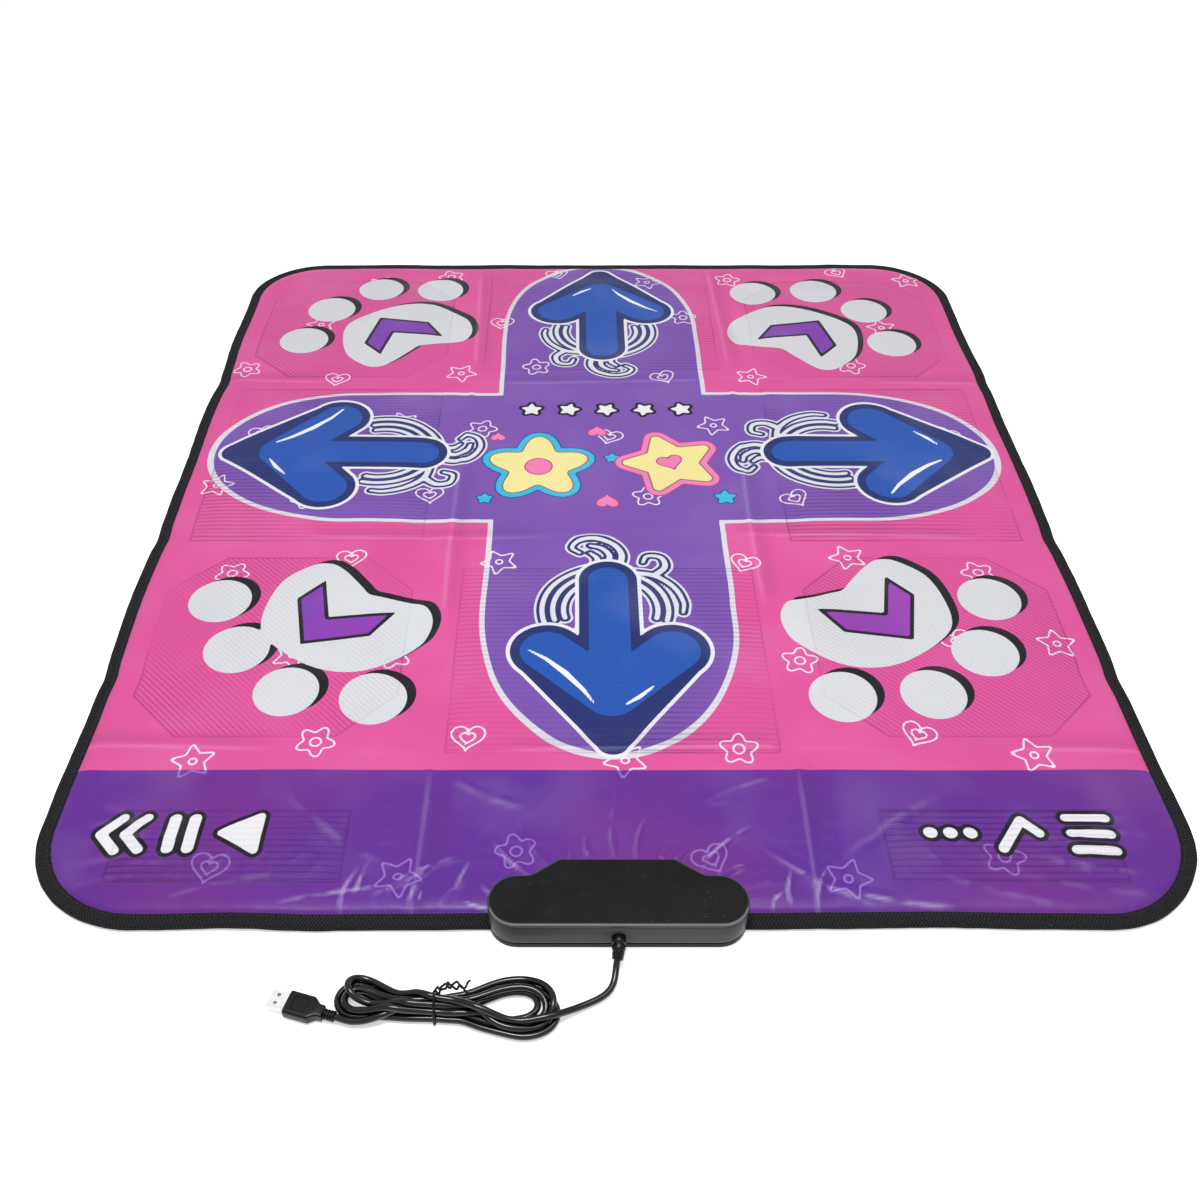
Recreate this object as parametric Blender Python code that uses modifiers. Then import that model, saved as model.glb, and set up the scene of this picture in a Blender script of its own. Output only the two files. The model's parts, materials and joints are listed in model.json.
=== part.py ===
"""Soft dance mat with a moulded control box and a USB lead wound into a hank.

The mat lies on the XY plane with its underside at Z = 0. The control box sits on the -Y edge,
which is the top of the mat for the person who stands on it. Lengths are in metres.
"""

import math

import bmesh
import bpy
from mathutils import Matrix, Vector

MM = 0.001
CLEARANCE = 0.3 * MM
SAME_POINT = 0.01 * MM

# Mat outline
MAT_WIDTH = 810 * MM
MAT_DEPTH = 920 * MM
MAT_CORNER_RADIUS = 80 * MM
CORNER_STEPS = 8

# Layers, from the floor up
BASE_COVER_THICKNESS = 0.8 * MM
BASE_FOAM_THICKNESS = 1.8 * MM
FILM_THICKNESS = 0.3 * MM
SPACER_THICKNESS = 1.5 * MM
CONTACT_THICKNESS = 0.5 * MM
TOP_COVER_THICKNESS = 0.8 * MM
FOAM_INSET = 23 * MM

# Edge binding, a webbing folded over the sewn edge
BINDING_WIDTH = 11 * MM
BINDING_THICKNESS = 1.1 * MM
EDGE_WALL = 1.2 * MM
COVER_RAMP = 9 * MM
BASE_RAMP = 5 * MM

# Step zones: eight round the standing place, and two by the control box
ZONE_SIDE_MARGIN = 31.5 * MM
ZONE_NEAR_MARGIN = 163.5 * MM
ZONE_FAR_MARGIN = 48 * MM
ZONE_GAP_X = 41.5 * MM
ZONE_GAP_Y = 24 * MM
CORNER_CONTACT_SIZE = 207 * MM
CORNER_CONTACT_CUT = 42 * MM
ARROW_CONTACT_DEPTH = 209 * MM
ARROW_OVERHANG = 16 * MM
OPTION_SIDE_MARGIN = 57 * MM
OPTION_NEAR_MARGIN = 34 * MM
OPTION_CONTACT_WIDTH = 160 * MM
OPTION_CONTACT_DEPTH = 60 * MM
PLATE_CORNER_RADIUS = 6 * MM
WINDOW_MARGIN = 1.2 * MM

# Control box
BOX_WIDTH = 171 * MM
BOX_END_DEPTH = 39 * MM
BOX_DEPTH = 52 * MM
BOX_HEIGHT = 25 * MM
BOX_WALL = 2 * MM
BOX_OVERHANG = 12 * MM
BOX_PARTING_HEIGHT = 4 * MM
BOX_EDGE_RADIUS = 2.4 * MM
BULGE_FLAT_WIDTH = 79 * MM
BULGE_FOOT_WIDTH = 117 * MM
BULGE_CORNER_RADIUS = 6 * MM
BULGE_FILLET_RADIUS = 13 * MM
NOTCH_WIDTH = 116 * MM
NOTCH_DEPTH = 26 * MM
SEAT_RIB_WIDTH = 1.2 * MM
SEAT_RIB_SPACING = 14 * MM

# Screws
CASE_SCREW_RADIUS = 1.3 * MM
CASE_SCREW_HEAD_RADIUS = 2.6 * MM
CASE_SCREW_LENGTH = 14 * MM
CASE_BOSS_RADIUS = 3.2 * MM
FRONT_SCREW_X = 68 * MM
REAR_SCREW_X = 46 * MM
BOARD_SCREW_RADIUS = 1.1 * MM
BOARD_SCREW_HEAD_RADIUS = 2.2 * MM
BOARD_SCREW_X = 27.5 * MM
SCREW_HEAD_HEIGHT = 1.4 * MM
BOARD_SCREW_TIP = 1.2 * MM

# Circuit board and what is clamped to it
BOARD_WIDTH = 66 * MM
BOARD_DEPTH = 23 * MM
BOARD_THICKNESS = 1.6 * MM
BOARD_SETBACK = 7.5 * MM
TAIL_WIDTH = 19 * MM
TAIL_GAP = 8 * MM
TAIL_OVERLAP = 9 * MM
CLAMP_BAR_WIDTH = 62 * MM
CLAMP_BAR_DEPTH = 7 * MM
CLAMP_BAR_THICKNESS = 2.5 * MM
PRESSURE_STRIP_WIDTH = 49 * MM
PRESSURE_STRIP_DEPTH = 5 * MM
PRESSURE_STRIP_THICKNESS = 1.5 * MM
CHIP_RADIUS = 6 * MM
CHIP_HEIGHT = 2.4 * MM
CAPACITOR_RADIUS = 2.5 * MM
CAPACITOR_HEIGHT = 7 * MM
RESONATOR_LENGTH = 8 * MM
RESONATOR_WIDTH = 3.4 * MM
RESONATOR_HEIGHT = 4 * MM
WIRE_RADIUS = 0.55 * MM
WIRE_SPACING = 1.7 * MM
PAD_SETBACK = 1.6 * MM
CHIP_X = -13 * MM

# Lead and plug
CABLE_DIAMETER = 4.5 * MM
CABLE_EXIT_HEIGHT = 12 * MM
RELIEF_RADIUS = 4.6 * MM
RELIEF_TIP_RADIUS = 3.6 * MM
RELIEF_LENGTH = 14.5 * MM
RELIEF_COLLAR = 2.6 * MM
RELIEF_DROOP = 3.9 * MM
RELIEF_DRIFT = 1.3 * MM
RELIEF_FLANGE_RADIUS = 5.6 * MM
RELIEF_FLANGE_THICKNESS = 1.6 * MM
RELIEF_NECK_RADIUS = 3.9 * MM
PLUG_WIDTH = 16 * MM
PLUG_THICKNESS = 8 * MM
PLUG_BODY_LENGTH = 16.5 * MM
PLUG_SHOULDER_LENGTH = 4.5 * MM
PLUG_NECK_LENGTH = 3.5 * MM
PLUG_NECK_WIDTH = 8.6 * MM
PLUG_RELIEF_LENGTH = 8 * MM
PLUG_RELIEF_RADIUS = 3.4 * MM
PLUG_ANGLE = math.radians(163.6)
PLUG_ENTRY_X = -176.8 * MM
PLUG_ENTRY_Y = -517.5 * MM
PLUG_PANEL_DEPTH = 0.4 * MM
SHELL_WIDTH = 12 * MM
SHELL_HEIGHT = 4.5 * MM
SHELL_WALL = 0.4 * MM
SHELL_LENGTH = 12 * MM
SHELL_SUNK = 5 * MM
TONGUE_THICKNESS = 1.8 * MM
CONTACT_STRIP_WIDTH = 1.1 * MM
CONTACT_STRIP_THICKNESS = 0.25 * MM
CONTACT_STRIP_SPACING = 2.3 * MM

# Hank, folded near the right-hand end and tied at its waist
HANK_RIGHT_X = -43.5 * MM
HANK_LEFT_X = -174.0 * MM
HANK_WAIST_X = -115 * MM
HANK_Y = -508 * MM
HANK_LEFT_SHIFT = 4 * MM
HANK_LOOPS_PER_LAYER = 2
HANK_STEP = 5.45 * MM
HANK_RIGHT_EYE = 8.8 * MM
HANK_LEFT_EYE = 5.8 * MM
HANK_INNER_REACH = 9 * MM
HANK_CLIMB_REACH = 7.2 * MM
HANK_START_X = -50 * MM
HANK_END_X = -156 * MM
HANK_FLOOR_GAP = 0.25 * MM
HANK_RUN_POINTS = 7
HANK_BEND_POINTS = 8
HANK_WAIST_LIFT = 1.7 * MM
TIE_RADIUS = 0.6 * MM
TIE_TWIST_TURNS = 4
TIE_TWIST_LENGTH = 15 * MM

# Levels worked out from the layers
NEAR_EDGE = -(MAT_DEPTH + BOX_OVERHANG) / 2 + BOX_OVERHANG
MAT_CENTRE_Y = NEAR_EDGE + MAT_DEPTH / 2
BASE_FOAM_Z = BASE_COVER_THICKNESS + CLEARANCE
LOWER_FILM_Z = BASE_FOAM_Z + BASE_FOAM_THICKNESS + CLEARANCE
SPACER_Z = LOWER_FILM_Z + FILM_THICKNESS + CLEARANCE
UPPER_FILM_Z = SPACER_Z + SPACER_THICKNESS + CLEARANCE
UPPER_FILM_TOP = UPPER_FILM_Z + FILM_THICKNESS
TOP_COVER_Z = UPPER_FILM_TOP + CLEARANCE
TOP_COVER_TOP = TOP_COVER_Z + TOP_COVER_THICKNESS
CONTACT_Z = UPPER_FILM_TOP - CONTACT_THICKNESS
CONTACT_TRAVEL = CONTACT_Z - LOWER_FILM_Z - FILM_THICKNESS - 0.2 * MM
EDGE_BASE_Z = BINDING_THICKNESS + CLEARANCE
EDGE_COVER_Z = EDGE_BASE_Z + BASE_COVER_THICKNESS + CLEARANCE
BINDING_TOP_Z = EDGE_COVER_Z + TOP_COVER_THICKNESS + CLEARANCE

BOX_FRONT = NEAR_EDGE - BOX_OVERHANG
BOX_REAR = BOX_FRONT + BOX_DEPTH
BOARD_FRONT = BOX_FRONT + BOX_WALL + BOARD_SETBACK
BOARD_REAR = BOARD_FRONT + BOARD_DEPTH
BOARD_TOP = UPPER_FILM_Z - CLEARANCE
BOARD_Z = BOARD_TOP - BOARD_THICKNESS
TAIL_FRONT = BOARD_REAR - TAIL_OVERLAP
CLAMP_Y = BOARD_REAR - TAIL_OVERLAP / 2
PRESSURE_STRIP_Z = UPPER_FILM_TOP + CLEARANCE
CLAMP_BAR_Z = PRESSURE_STRIP_Z + PRESSURE_STRIP_THICKNESS + CLEARANCE
CLAMP_BAR_TOP = CLAMP_BAR_Z + CLAMP_BAR_THICKNESS
BOX_FLOOR_TOP = BOX_WALL
SEAT_TOP = LOWER_FILM_Z - CLEARANCE
FRONT_SCREW_Y = BOX_FRONT + BOX_WALL + CASE_BOSS_RADIUS + 1.4 * MM
REAR_SCREW_Y = NEAR_EDGE + NOTCH_DEPTH - CASE_BOSS_RADIUS - 4 * MM
CASE_SCREWS = [
    (-FRONT_SCREW_X, FRONT_SCREW_Y),
    (FRONT_SCREW_X, FRONT_SCREW_Y),
    (-REAR_SCREW_X, REAR_SCREW_Y),
    (REAR_SCREW_X, REAR_SCREW_Y),
]
BOARD_SCREWS = [(-BOARD_SCREW_X, CLAMP_Y), (BOARD_SCREW_X, CLAMP_Y)]
CASE_BOSS_FOOT = BOX_FLOOR_TOP + 3 * MM

CABLE_RADIUS = CABLE_DIAMETER / 2
LEAD_ROUTE_MM = [
    (-2.5, -486.6, 4.5),
    (-5.6, -496.4, 2.8),
    (-10.2, -502.8, 2.5),
    (-17.0, -506.6, 3.1),
    (-25.0, -509.6, 5.4),
    (-32.6, -513.4, 7.8),
    (-39.0, -517.8, 8.3),
]
TAIL_ROUTE_MM = [
    (-165.6, -519.9, 2.9),
    (-170.6, -519.2, 3.6),
]


def material(name, colour, roughness, metallic=0.0):
    """A Principled material with one colour and finish."""
    made = bpy.data.materials.new(name)
    made.use_nodes = True
    shader = made.node_tree.nodes["Principled BSDF"]
    shader.inputs["Base Color"].default_value = (*colour, 1.0)
    shader.inputs["Roughness"].default_value = roughness
    shader.inputs["Metallic"].default_value = metallic
    return made


def clear_scene():
    for old in list(bpy.data.objects):
        bpy.data.objects.remove(old, do_unlink=True)


def new_collection(name):
    made = bpy.data.collections.new(name)
    bpy.context.scene.collection.children.link(made)
    return made


clear_scene()
PARTS = new_collection("dance_mat_controller")
CUTTERS = new_collection("cutters")

PRINTED_VINYL = material("printed_vinyl", (0.77, 0.13, 0.37), 0.35)
BASE_CLOTH = material("nonslip_base_cloth", (0.02, 0.02, 0.025), 0.9)
WEBBING = material("black_webbing", (0.02, 0.02, 0.022), 0.85)
FOAM = material("white_foam", (0.85, 0.85, 0.83), 0.95)
FILM = material("polyester_film", (0.72, 0.75, 0.78), 0.25)
CONTACT_INK = material("silver_ink_contact", (0.55, 0.56, 0.58), 0.4, 0.6)
BLACK_ABS = material("black_abs", (0.012, 0.012, 0.013), 0.42)
BOARD_GREEN = material("circuit_board", (0.02, 0.16, 0.06), 0.45)
BLACK_EPOXY = material("black_epoxy", (0.01, 0.01, 0.01), 0.3)
RUBBER = material("soft_rubber", (0.03, 0.03, 0.03), 0.8)
STEEL = material("zinc_plated_steel", (0.62, 0.62, 0.64), 0.3, 1.0)
PLATED = material("nickel_plated_shell", (0.75, 0.75, 0.76), 0.22, 1.0)
GOLD = material("gold_contact", (0.9, 0.68, 0.28), 0.25, 1.0)
CABLE_PVC = material("black_pvc", (0.012, 0.012, 0.014), 0.3)
WIRE_PVC = material("wire_insulation", (0.5, 0.04, 0.03), 0.45)


def place(name, mesh, finish=None, collection=None):
    """Link a mesh as a named object, in the parts unless another collection is given."""
    made = bpy.data.objects.new(name, mesh)
    if finish:
        mesh.materials.clear()
        mesh.materials.append(finish)
    (collection or PARTS).objects.link(made)
    if collection is CUTTERS:
        made.hide_render = True
        made.display_type = "WIRE"
    return made


def finish_mesh(name, bm, finish=None, collection=None):
    bmesh.ops.recalc_face_normals(bm, faces=bm.faces)
    mesh = bpy.data.meshes.new(name)
    bm.to_mesh(mesh)
    bm.free()
    mesh.shade_smooth()
    mesh.set_sharp_from_angle(angle=math.radians(30))
    return place(name, mesh, finish, collection)


def rounded_outline(corners, steps=CORNER_STEPS):
    """Points of a polygon whose corners (x, y, radius) are rounded, counter-clockwise or not."""
    points = []
    count = len(corners)
    for index, (x, y, radius) in enumerate(corners):
        here = Vector((x, y))
        before = (Vector(corners[index - 1][:2]) - here).normalized()
        after = (Vector(corners[(index + 1) % count][:2]) - here).normalized()
        if radius <= 0:
            points.append(here)
            continue
        half = before.angle(after) / 2
        centre = here + (before + after).normalized() * radius / math.sin(half)
        start = here + before * radius / math.tan(half) - centre
        end = here + after * radius / math.tan(half) - centre
        sweep = start.angle_signed(end)
        for step in range(steps + 1):
            turned = start.copy()
            turned.rotate(Matrix.Rotation(-sweep * step / steps, 2))
            points.append(centre + turned)
    return [point for index, point in enumerate(points) if (point - points[index - 1]).length > SAME_POINT]


def rectangle_corners(width, depth, radius, centre=(0, 0)):
    x, y = centre
    return [
        (x - width / 2, y - depth / 2, radius),
        (x + width / 2, y - depth / 2, radius),
        (x + width / 2, y + depth / 2, radius),
        (x - width / 2, y + depth / 2, radius),
    ]


def mat_outline(inset):
    """The mat's outline drawn in by inset, with the same number of points whatever the inset."""
    corners = rectangle_corners(
        MAT_WIDTH - 2 * inset,
        MAT_DEPTH - 2 * inset,
        MAT_CORNER_RADIUS - inset,
        (0, MAT_CENTRE_Y),
    )
    return rounded_outline(corners)


def ring_faces(bm, first, second):
    count = len(first)
    for index in range(count):
        after = (index + 1) % count
        bm.faces.new((first[index], first[after], second[after], second[index]))


def mat_rings(bm, profile):
    """One ring of vertices round the mat for each (inset, height), skinned one to the next."""
    rings = []
    for inset, height in profile:
        rings.append([bm.verts.new((*point, height)) for point in mat_outline(inset)])
    for first, second in zip(rings, rings[1:]):
        ring_faces(bm, first, second)
    return rings


def mat_sheet(name, profile, thickness, finish):
    """A sheet over the whole mat: an open surface of rings, thickened upwards."""
    bm = bmesh.new()
    rings = mat_rings(bm, profile)
    bm.faces.new(rings[-1])
    made = finish_mesh(name, bm, finish)
    if made.data.polygons[-1].normal.z < 0:
        made.data.flip_normals()
    wall = made.modifiers.new("thickness", "SOLIDIFY")
    wall.thickness = thickness
    wall.offset = 1.0
    return made


def slab(name, outline, low, high, finish=None, collection=None):
    """A flat plate: an outline carried from one height to another."""
    bm = bmesh.new()
    foot = bm.faces.new([bm.verts.new((*point, low)) for point in outline])
    grown = bmesh.ops.extrude_face_region(bm, geom=[foot])
    tops = [item for item in grown["geom"] if isinstance(item, bmesh.types.BMVert)]
    bmesh.ops.translate(bm, vec=(0, 0, high - low), verts=tops)
    return finish_mesh(name, bm, finish, collection)


def cylinder(name, x, y, low, high, radius, sides=20, finish=None, collection=None, top=None):
    bm = bmesh.new()
    bmesh.ops.create_cone(
        bm,
        cap_ends=True,
        segments=sides,
        radius1=radius,
        radius2=radius if top is None else top,
        depth=high - low,
        matrix=Matrix.Translation((x, y, (low + high) / 2)),
    )
    return finish_mesh(name, bm, finish, collection)


def block(name, centre, size, finish=None, collection=None, bevel=0.0):
    bm = bmesh.new()
    matrix = Matrix.Translation(centre) @ Matrix.Diagonal((*size, 1))
    bmesh.ops.create_cube(bm, size=1.0, matrix=matrix)
    if bevel:
        bmesh.ops.bevel(bm, geom=list(bm.edges), offset=bevel, segments=2, affect="EDGES", profile=0.5)
    return finish_mesh(name, bm, finish, collection)


def combine(target, tool, operation):
    modifier = target.modifiers.new(operation.lower(), "BOOLEAN")
    modifier.operation = operation
    modifier.object = tool
    modifier.solver = "EXACT"


def cut(target, tool):
    combine(target, tool, "DIFFERENCE")


def join(target, tool):
    combine(target, tool, "UNION")


def smooth_route(points, per_leg):
    """Points of a Catmull-Rom curve through the route's own points."""
    points = [Vector(point) for point in points]
    padded = [2 * points[0] - points[1], *points, 2 * points[-1] - points[-2]]
    route = []
    for index in range(1, len(padded) - 2):
        before, start, end, after = padded[index - 1 : index + 3]
        for step in range(per_leg):
            t = step / per_leg
            route.append(
                0.5
                * (
                    2 * start
                    + (end - before) * t
                    + (2 * before - 5 * start + 4 * end - after) * t**2
                    + (3 * start - before - 3 * end + after) * t**3
                )
            )
    route.append(points[-1])
    return route


def tube(name, points, radius, finish, resolution=2, radii=None):
    """A round solid along a chain of points, as thick at each as radii says."""
    curve = bpy.data.curves.new(name, "CURVE")
    curve.dimensions = "3D"
    curve.bevel_depth = radius
    curve.bevel_resolution = resolution
    curve.use_fill_caps = True
    curve.twist_mode = "MINIMUM"
    spline = curve.splines.new("POLY")
    spline.points.add(len(points) - 1)
    for index, point in enumerate(points):
        spline.points[index].co = (*point, 1.0)
        spline.points[index].radius = radii[index] / radius if radii else 1.0
    curve.materials.append(finish)
    made = bpy.data.objects.new(name, curve)
    PARTS.objects.link(made)
    return made


def as_mesh(made, collection=None):
    """Turn a curve object into a mesh object of the same name, with its caps welded."""
    graph = bpy.context.evaluated_depsgraph_get()
    mesh = bpy.data.meshes.new_from_object(made.evaluated_get(graph))
    bm = bmesh.new()
    bm.from_mesh(mesh)
    bmesh.ops.remove_doubles(bm, verts=bm.verts, dist=SAME_POINT)
    bmesh.ops.recalc_face_normals(bm, faces=bm.faces)
    bm.to_mesh(mesh)
    bm.free()
    name = made.name
    finish = made.data.materials[0]
    matrix = made.matrix_world.copy()
    bpy.data.objects.remove(made, do_unlink=True)
    solid = place(name, mesh, finish, collection)
    solid.matrix_world = matrix
    return solid


# Step zones
def corner_shape(centre, grow=0.0):
    """An octagon: a square whose corners are cut."""
    half = CORNER_CONTACT_SIZE / 2 + grow
    cut_back = half - (CORNER_CONTACT_CUT + grow * (2 - math.sqrt(2)))
    signs = [(-1, -1), (1, -1), (1, 1), (-1, 1)]
    outline = []
    for index, (sx, sy) in enumerate(signs):
        first = (cut_back * sx, half * sy)
        second = (half * sx, cut_back * sy)
        pair = (second, first) if index % 2 == 0 else (first, second)
        outline += [Vector(centre) + Vector(point) for point in pair]
    return outline


def plate_shape(centre, width, depth, grow=0.0):
    corners = rectangle_corners(width + 2 * grow, depth + 2 * grow, PLATE_CORNER_RADIUS + grow, centre)
    return rounded_outline(corners, 3)


def step_zones():
    """Each zone's name and the function that draws it, grown by a margin."""
    half = CORNER_CONTACT_SIZE / 2
    far_edge = NEAR_EDGE + MAT_DEPTH
    side = MAT_WIDTH / 2 - ZONE_SIDE_MARGIN - half
    near = NEAR_EDGE + ZONE_NEAR_MARGIN + half
    far = far_edge - ZONE_FAR_MARGIN - half
    reach = ARROW_CONTACT_DEPTH / 2
    arrow_near = NEAR_EDGE + ZONE_NEAR_MARGIN - ARROW_OVERHANG + reach
    arrow_far = far_edge - ZONE_FAR_MARGIN + ARROW_OVERHANG - reach
    arrow_side = MAT_WIDTH / 2 - ZONE_SIDE_MARGIN - reach
    middle = (near + far) / 2
    along = (2 * (side - half - ZONE_GAP_X), ARROW_CONTACT_DEPTH)
    across = (ARROW_CONTACT_DEPTH, far - near - 2 * (half + ZONE_GAP_Y))
    option = (OPTION_CONTACT_WIDTH, OPTION_CONTACT_DEPTH)
    option_x = MAT_WIDTH / 2 - OPTION_SIDE_MARGIN - OPTION_CONTACT_WIDTH / 2
    option_y = NEAR_EDGE + OPTION_NEAR_MARGIN + OPTION_CONTACT_DEPTH / 2
    plates = {
        "contact_up": ((0, arrow_near), along),
        "contact_down": ((0, arrow_far), along),
        "contact_left": ((arrow_side, middle), across),
        "contact_right": ((-arrow_side, middle), across),
        "contact_start": ((-option_x, option_y), option),
        "contact_select": ((option_x, option_y), option),
    }
    corners = {
        "contact_up_left": (side, near),
        "contact_up_right": (-side, near),
        "contact_down_left": (side, far),
        "contact_down_right": (-side, far),
    }
    zones = {}
    for name, (centre, size) in plates.items():
        zones[name] = lambda grow, centre=centre, size=size: plate_shape(centre, *size, grow)
    for name, centre in corners.items():
        zones[name] = lambda grow, centre=centre: corner_shape(centre, grow)
    return zones


ZONES = step_zones()


def make_contacts():
    """The parts of the upper film that a foot presses down through the spacer's windows."""
    for name, shape in ZONES.items():
        slab(name, shape(0.0), CONTACT_Z, UPPER_FILM_TOP, CONTACT_INK)


def cut_windows(target, margin):
    for name, shape in ZONES.items():
        hole = slab(
            target.name + "_" + name, shape(margin), -MM, TOP_COVER_TOP, collection=CUTTERS
        )
        cut(target, hole)


# Mat layers
def notch(name, low, high, margin=0.0):
    """The bay cut from the mat's edge, where the board and screws go."""
    width = NOTCH_WIDTH + 2 * margin
    depth = NOTCH_DEPTH + margin + 10 * MM
    centre_y = NEAR_EDGE + NOTCH_DEPTH + margin - depth / 2
    return block(name, (0, centre_y, (low + high) / 2), (width, depth, high - low), collection=CUTTERS)


def cover_profile(lift=0.0):
    """Underside of the top cover from its sewn edge up the ramp to the flat."""
    rise = TOP_COVER_Z - EDGE_COVER_Z
    start = BINDING_WIDTH + MM
    ramp = [(0.0, 0.0), (0.2, 0.1), (0.5, 0.5), (0.8, 0.9), (1.0, 1.0)]
    profile = [(EDGE_WALL + BINDING_THICKNESS - MM, EDGE_COVER_Z + lift)]
    profile += [(start + COVER_RAMP * x, EDGE_COVER_Z + rise * z + lift) for x, z in ramp]
    return profile


def make_top_cover():
    cover = mat_sheet("top_cover", cover_profile(), TOP_COVER_THICKNESS, PRINTED_VINYL)
    cut(cover, notch("top_cover_notch", -MM, BOX_HEIGHT))
    return cover


def make_base_cover():
    start = BINDING_WIDTH + MM
    profile = [
        (EDGE_WALL + BINDING_THICKNESS - MM, EDGE_BASE_Z),
        (start, EDGE_BASE_Z),
        (start + BASE_RAMP / 2, EDGE_BASE_Z / 2),
        (start + BASE_RAMP, 0.0),
    ]
    cover = mat_sheet("base_cover", profile, BASE_COVER_THICKNESS, BASE_CLOTH)
    cut(cover, slab("base_cover_bay", box_outline(CLEARANCE), -MM, BOX_HEIGHT, collection=CUTTERS))
    return cover


def make_foams_and_films():
    flat = mat_outline(FOAM_INSET)
    foam = slab("base_foam", flat, BASE_FOAM_Z, BASE_FOAM_Z + BASE_FOAM_THICKNESS, FOAM)
    cut(foam, slab("base_foam_bay", box_outline(CLEARANCE), -MM, BOX_HEIGHT, collection=CUTTERS))

    lower = slab("lower_film", flat, LOWER_FILM_Z, LOWER_FILM_Z + FILM_THICKNESS, FILM)
    cut(lower, notch("lower_film_notch", -MM, BOX_HEIGHT))
    join(lower, lower_tail())

    spacer = slab("spacer_foam", flat, SPACER_Z, SPACER_Z + SPACER_THICKNESS, FOAM)
    cut(spacer, notch("spacer_foam_notch", -MM, BOX_HEIGHT))
    cut_windows(spacer, WINDOW_MARGIN)

    upper = slab("upper_film", flat, UPPER_FILM_Z, UPPER_FILM_TOP, FILM)
    cut(upper, notch("upper_film_notch", -MM, BOX_HEIGHT))
    cut_windows(upper, CLEARANCE)
    join(upper, upper_tail())


def tail_span(side):
    inner = side * TAIL_GAP / 2
    outer = side * (TAIL_GAP / 2 + TAIL_WIDTH)
    return min(inner, outer), max(inner, outer)


def ribbon(name, side, path):
    """A strip of film: a path in the YZ plane, with the film's thickness, carried across X."""
    left, right = tail_span(side)
    bm = bmesh.new()
    rows = [[bm.verts.new((x, y, z)) for y, z in path] for x in (left, right)]
    for index in range(len(path) - 1):
        bm.faces.new((rows[0][index], rows[1][index], rows[1][index + 1], rows[0][index + 1]))
    made = finish_mesh(name, bm, collection=CUTTERS)
    if made.data.polygons[0].normal.z < 0:
        made.data.flip_normals()
    wall = made.modifiers.new("thickness", "SOLIDIFY")
    wall.thickness = FILM_THICKNESS
    wall.offset = 1.0
    return made


def upper_tail():
    start = NEAR_EDGE + NOTCH_DEPTH + 4 * MM
    return ribbon("upper_film_tail", 1, [(start, UPPER_FILM_Z), (TAIL_FRONT, UPPER_FILM_Z)])


def lower_tail():
    """The lower film's tail, which climbs to lie on the board beside the upper one."""
    start = NEAR_EDGE + NOTCH_DEPTH
    path = [
        (start + 4 * MM, LOWER_FILM_Z),
        (start - MM, LOWER_FILM_Z),
        (BOARD_REAR + MM, UPPER_FILM_Z),
        (TAIL_FRONT, UPPER_FILM_Z),
    ]
    return ribbon("lower_film_tail", -1, path)


def make_binding():
    """Webbing folded round the sewn edge: a U section swept round the outline, open at the box."""
    top = BINDING_TOP_Z + BINDING_THICKNESS
    wall = EDGE_WALL
    round_off = BINDING_THICKNESS / 2
    section = [
        (BINDING_WIDTH, 0.0),
        (round_off, 0.0),
        (0.0, round_off),
        (0.0, top - round_off),
        (round_off, top),
        (BINDING_WIDTH, top),
        (BINDING_WIDTH, BINDING_TOP_Z),
        (wall, BINDING_TOP_Z),
        (wall, BINDING_THICKNESS),
        (BINDING_WIDTH, BINDING_THICKNESS),
    ]
    bm = bmesh.new()
    rings = mat_rings(bm, section)
    ring_faces(bm, rings[-1], rings[0])
    binding = finish_mesh("binding", bm, WEBBING)
    cut(binding, slab("binding_gap", box_outline(CLEARANCE), -MM, BOX_HEIGHT, collection=CUTTERS))


# Control box
def box_outline(grow=0.0):
    """Plan of the box: a bar with round ends and a rear bulge that runs into it by fillets."""
    end_radius = BOX_END_DEPTH / 2
    front = BOX_FRONT - grow
    shoulder = BOX_FRONT + BOX_END_DEPTH + grow
    rear = BOX_REAR + grow
    half = BOX_WIDTH / 2 + grow
    corners = [
        (-half, front, end_radius + grow),
        (half, front, end_radius + grow),
        (half, shoulder, end_radius + grow),
        (BULGE_FOOT_WIDTH / 2 + grow, shoulder, BULGE_FILLET_RADIUS - grow),
        (BULGE_FLAT_WIDTH / 2 + grow, rear, BULGE_CORNER_RADIUS + grow),
        (-BULGE_FLAT_WIDTH / 2 - grow, rear, BULGE_CORNER_RADIUS + grow),
        (-BULGE_FOOT_WIDTH / 2 - grow, shoulder, BULGE_FILLET_RADIUS - grow),
        (-half, shoulder, end_radius + grow),
    ]
    return rounded_outline(corners)


def shell_tray(name, low, high, edge_radius):
    """The box's outer form from low to high with its top edge rounded, hollowed from below."""
    bm = bmesh.new()
    outline = box_outline()
    rim = [bm.verts.new((*point, low)) for point in outline]
    edge = [bm.verts.new((*point, high)) for point in outline]
    ring_faces(bm, rim, edge)
    bm.faces.new(edge)
    bm.faces.new(rim)
    ridge = [bm.edges.get((edge[index - 1], edge[index])) for index in range(len(edge))]
    bmesh.ops.bevel(bm, geom=ridge, offset=edge_radius, segments=3, affect="EDGES", profile=0.5)
    made = finish_mesh(name, bm, BLACK_ABS)
    inner = box_outline(-BOX_WALL)
    cut(made, slab(name + "_hollow", inner, low - BOX_WALL, high - BOX_WALL, collection=CUTTERS))
    return made


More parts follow.
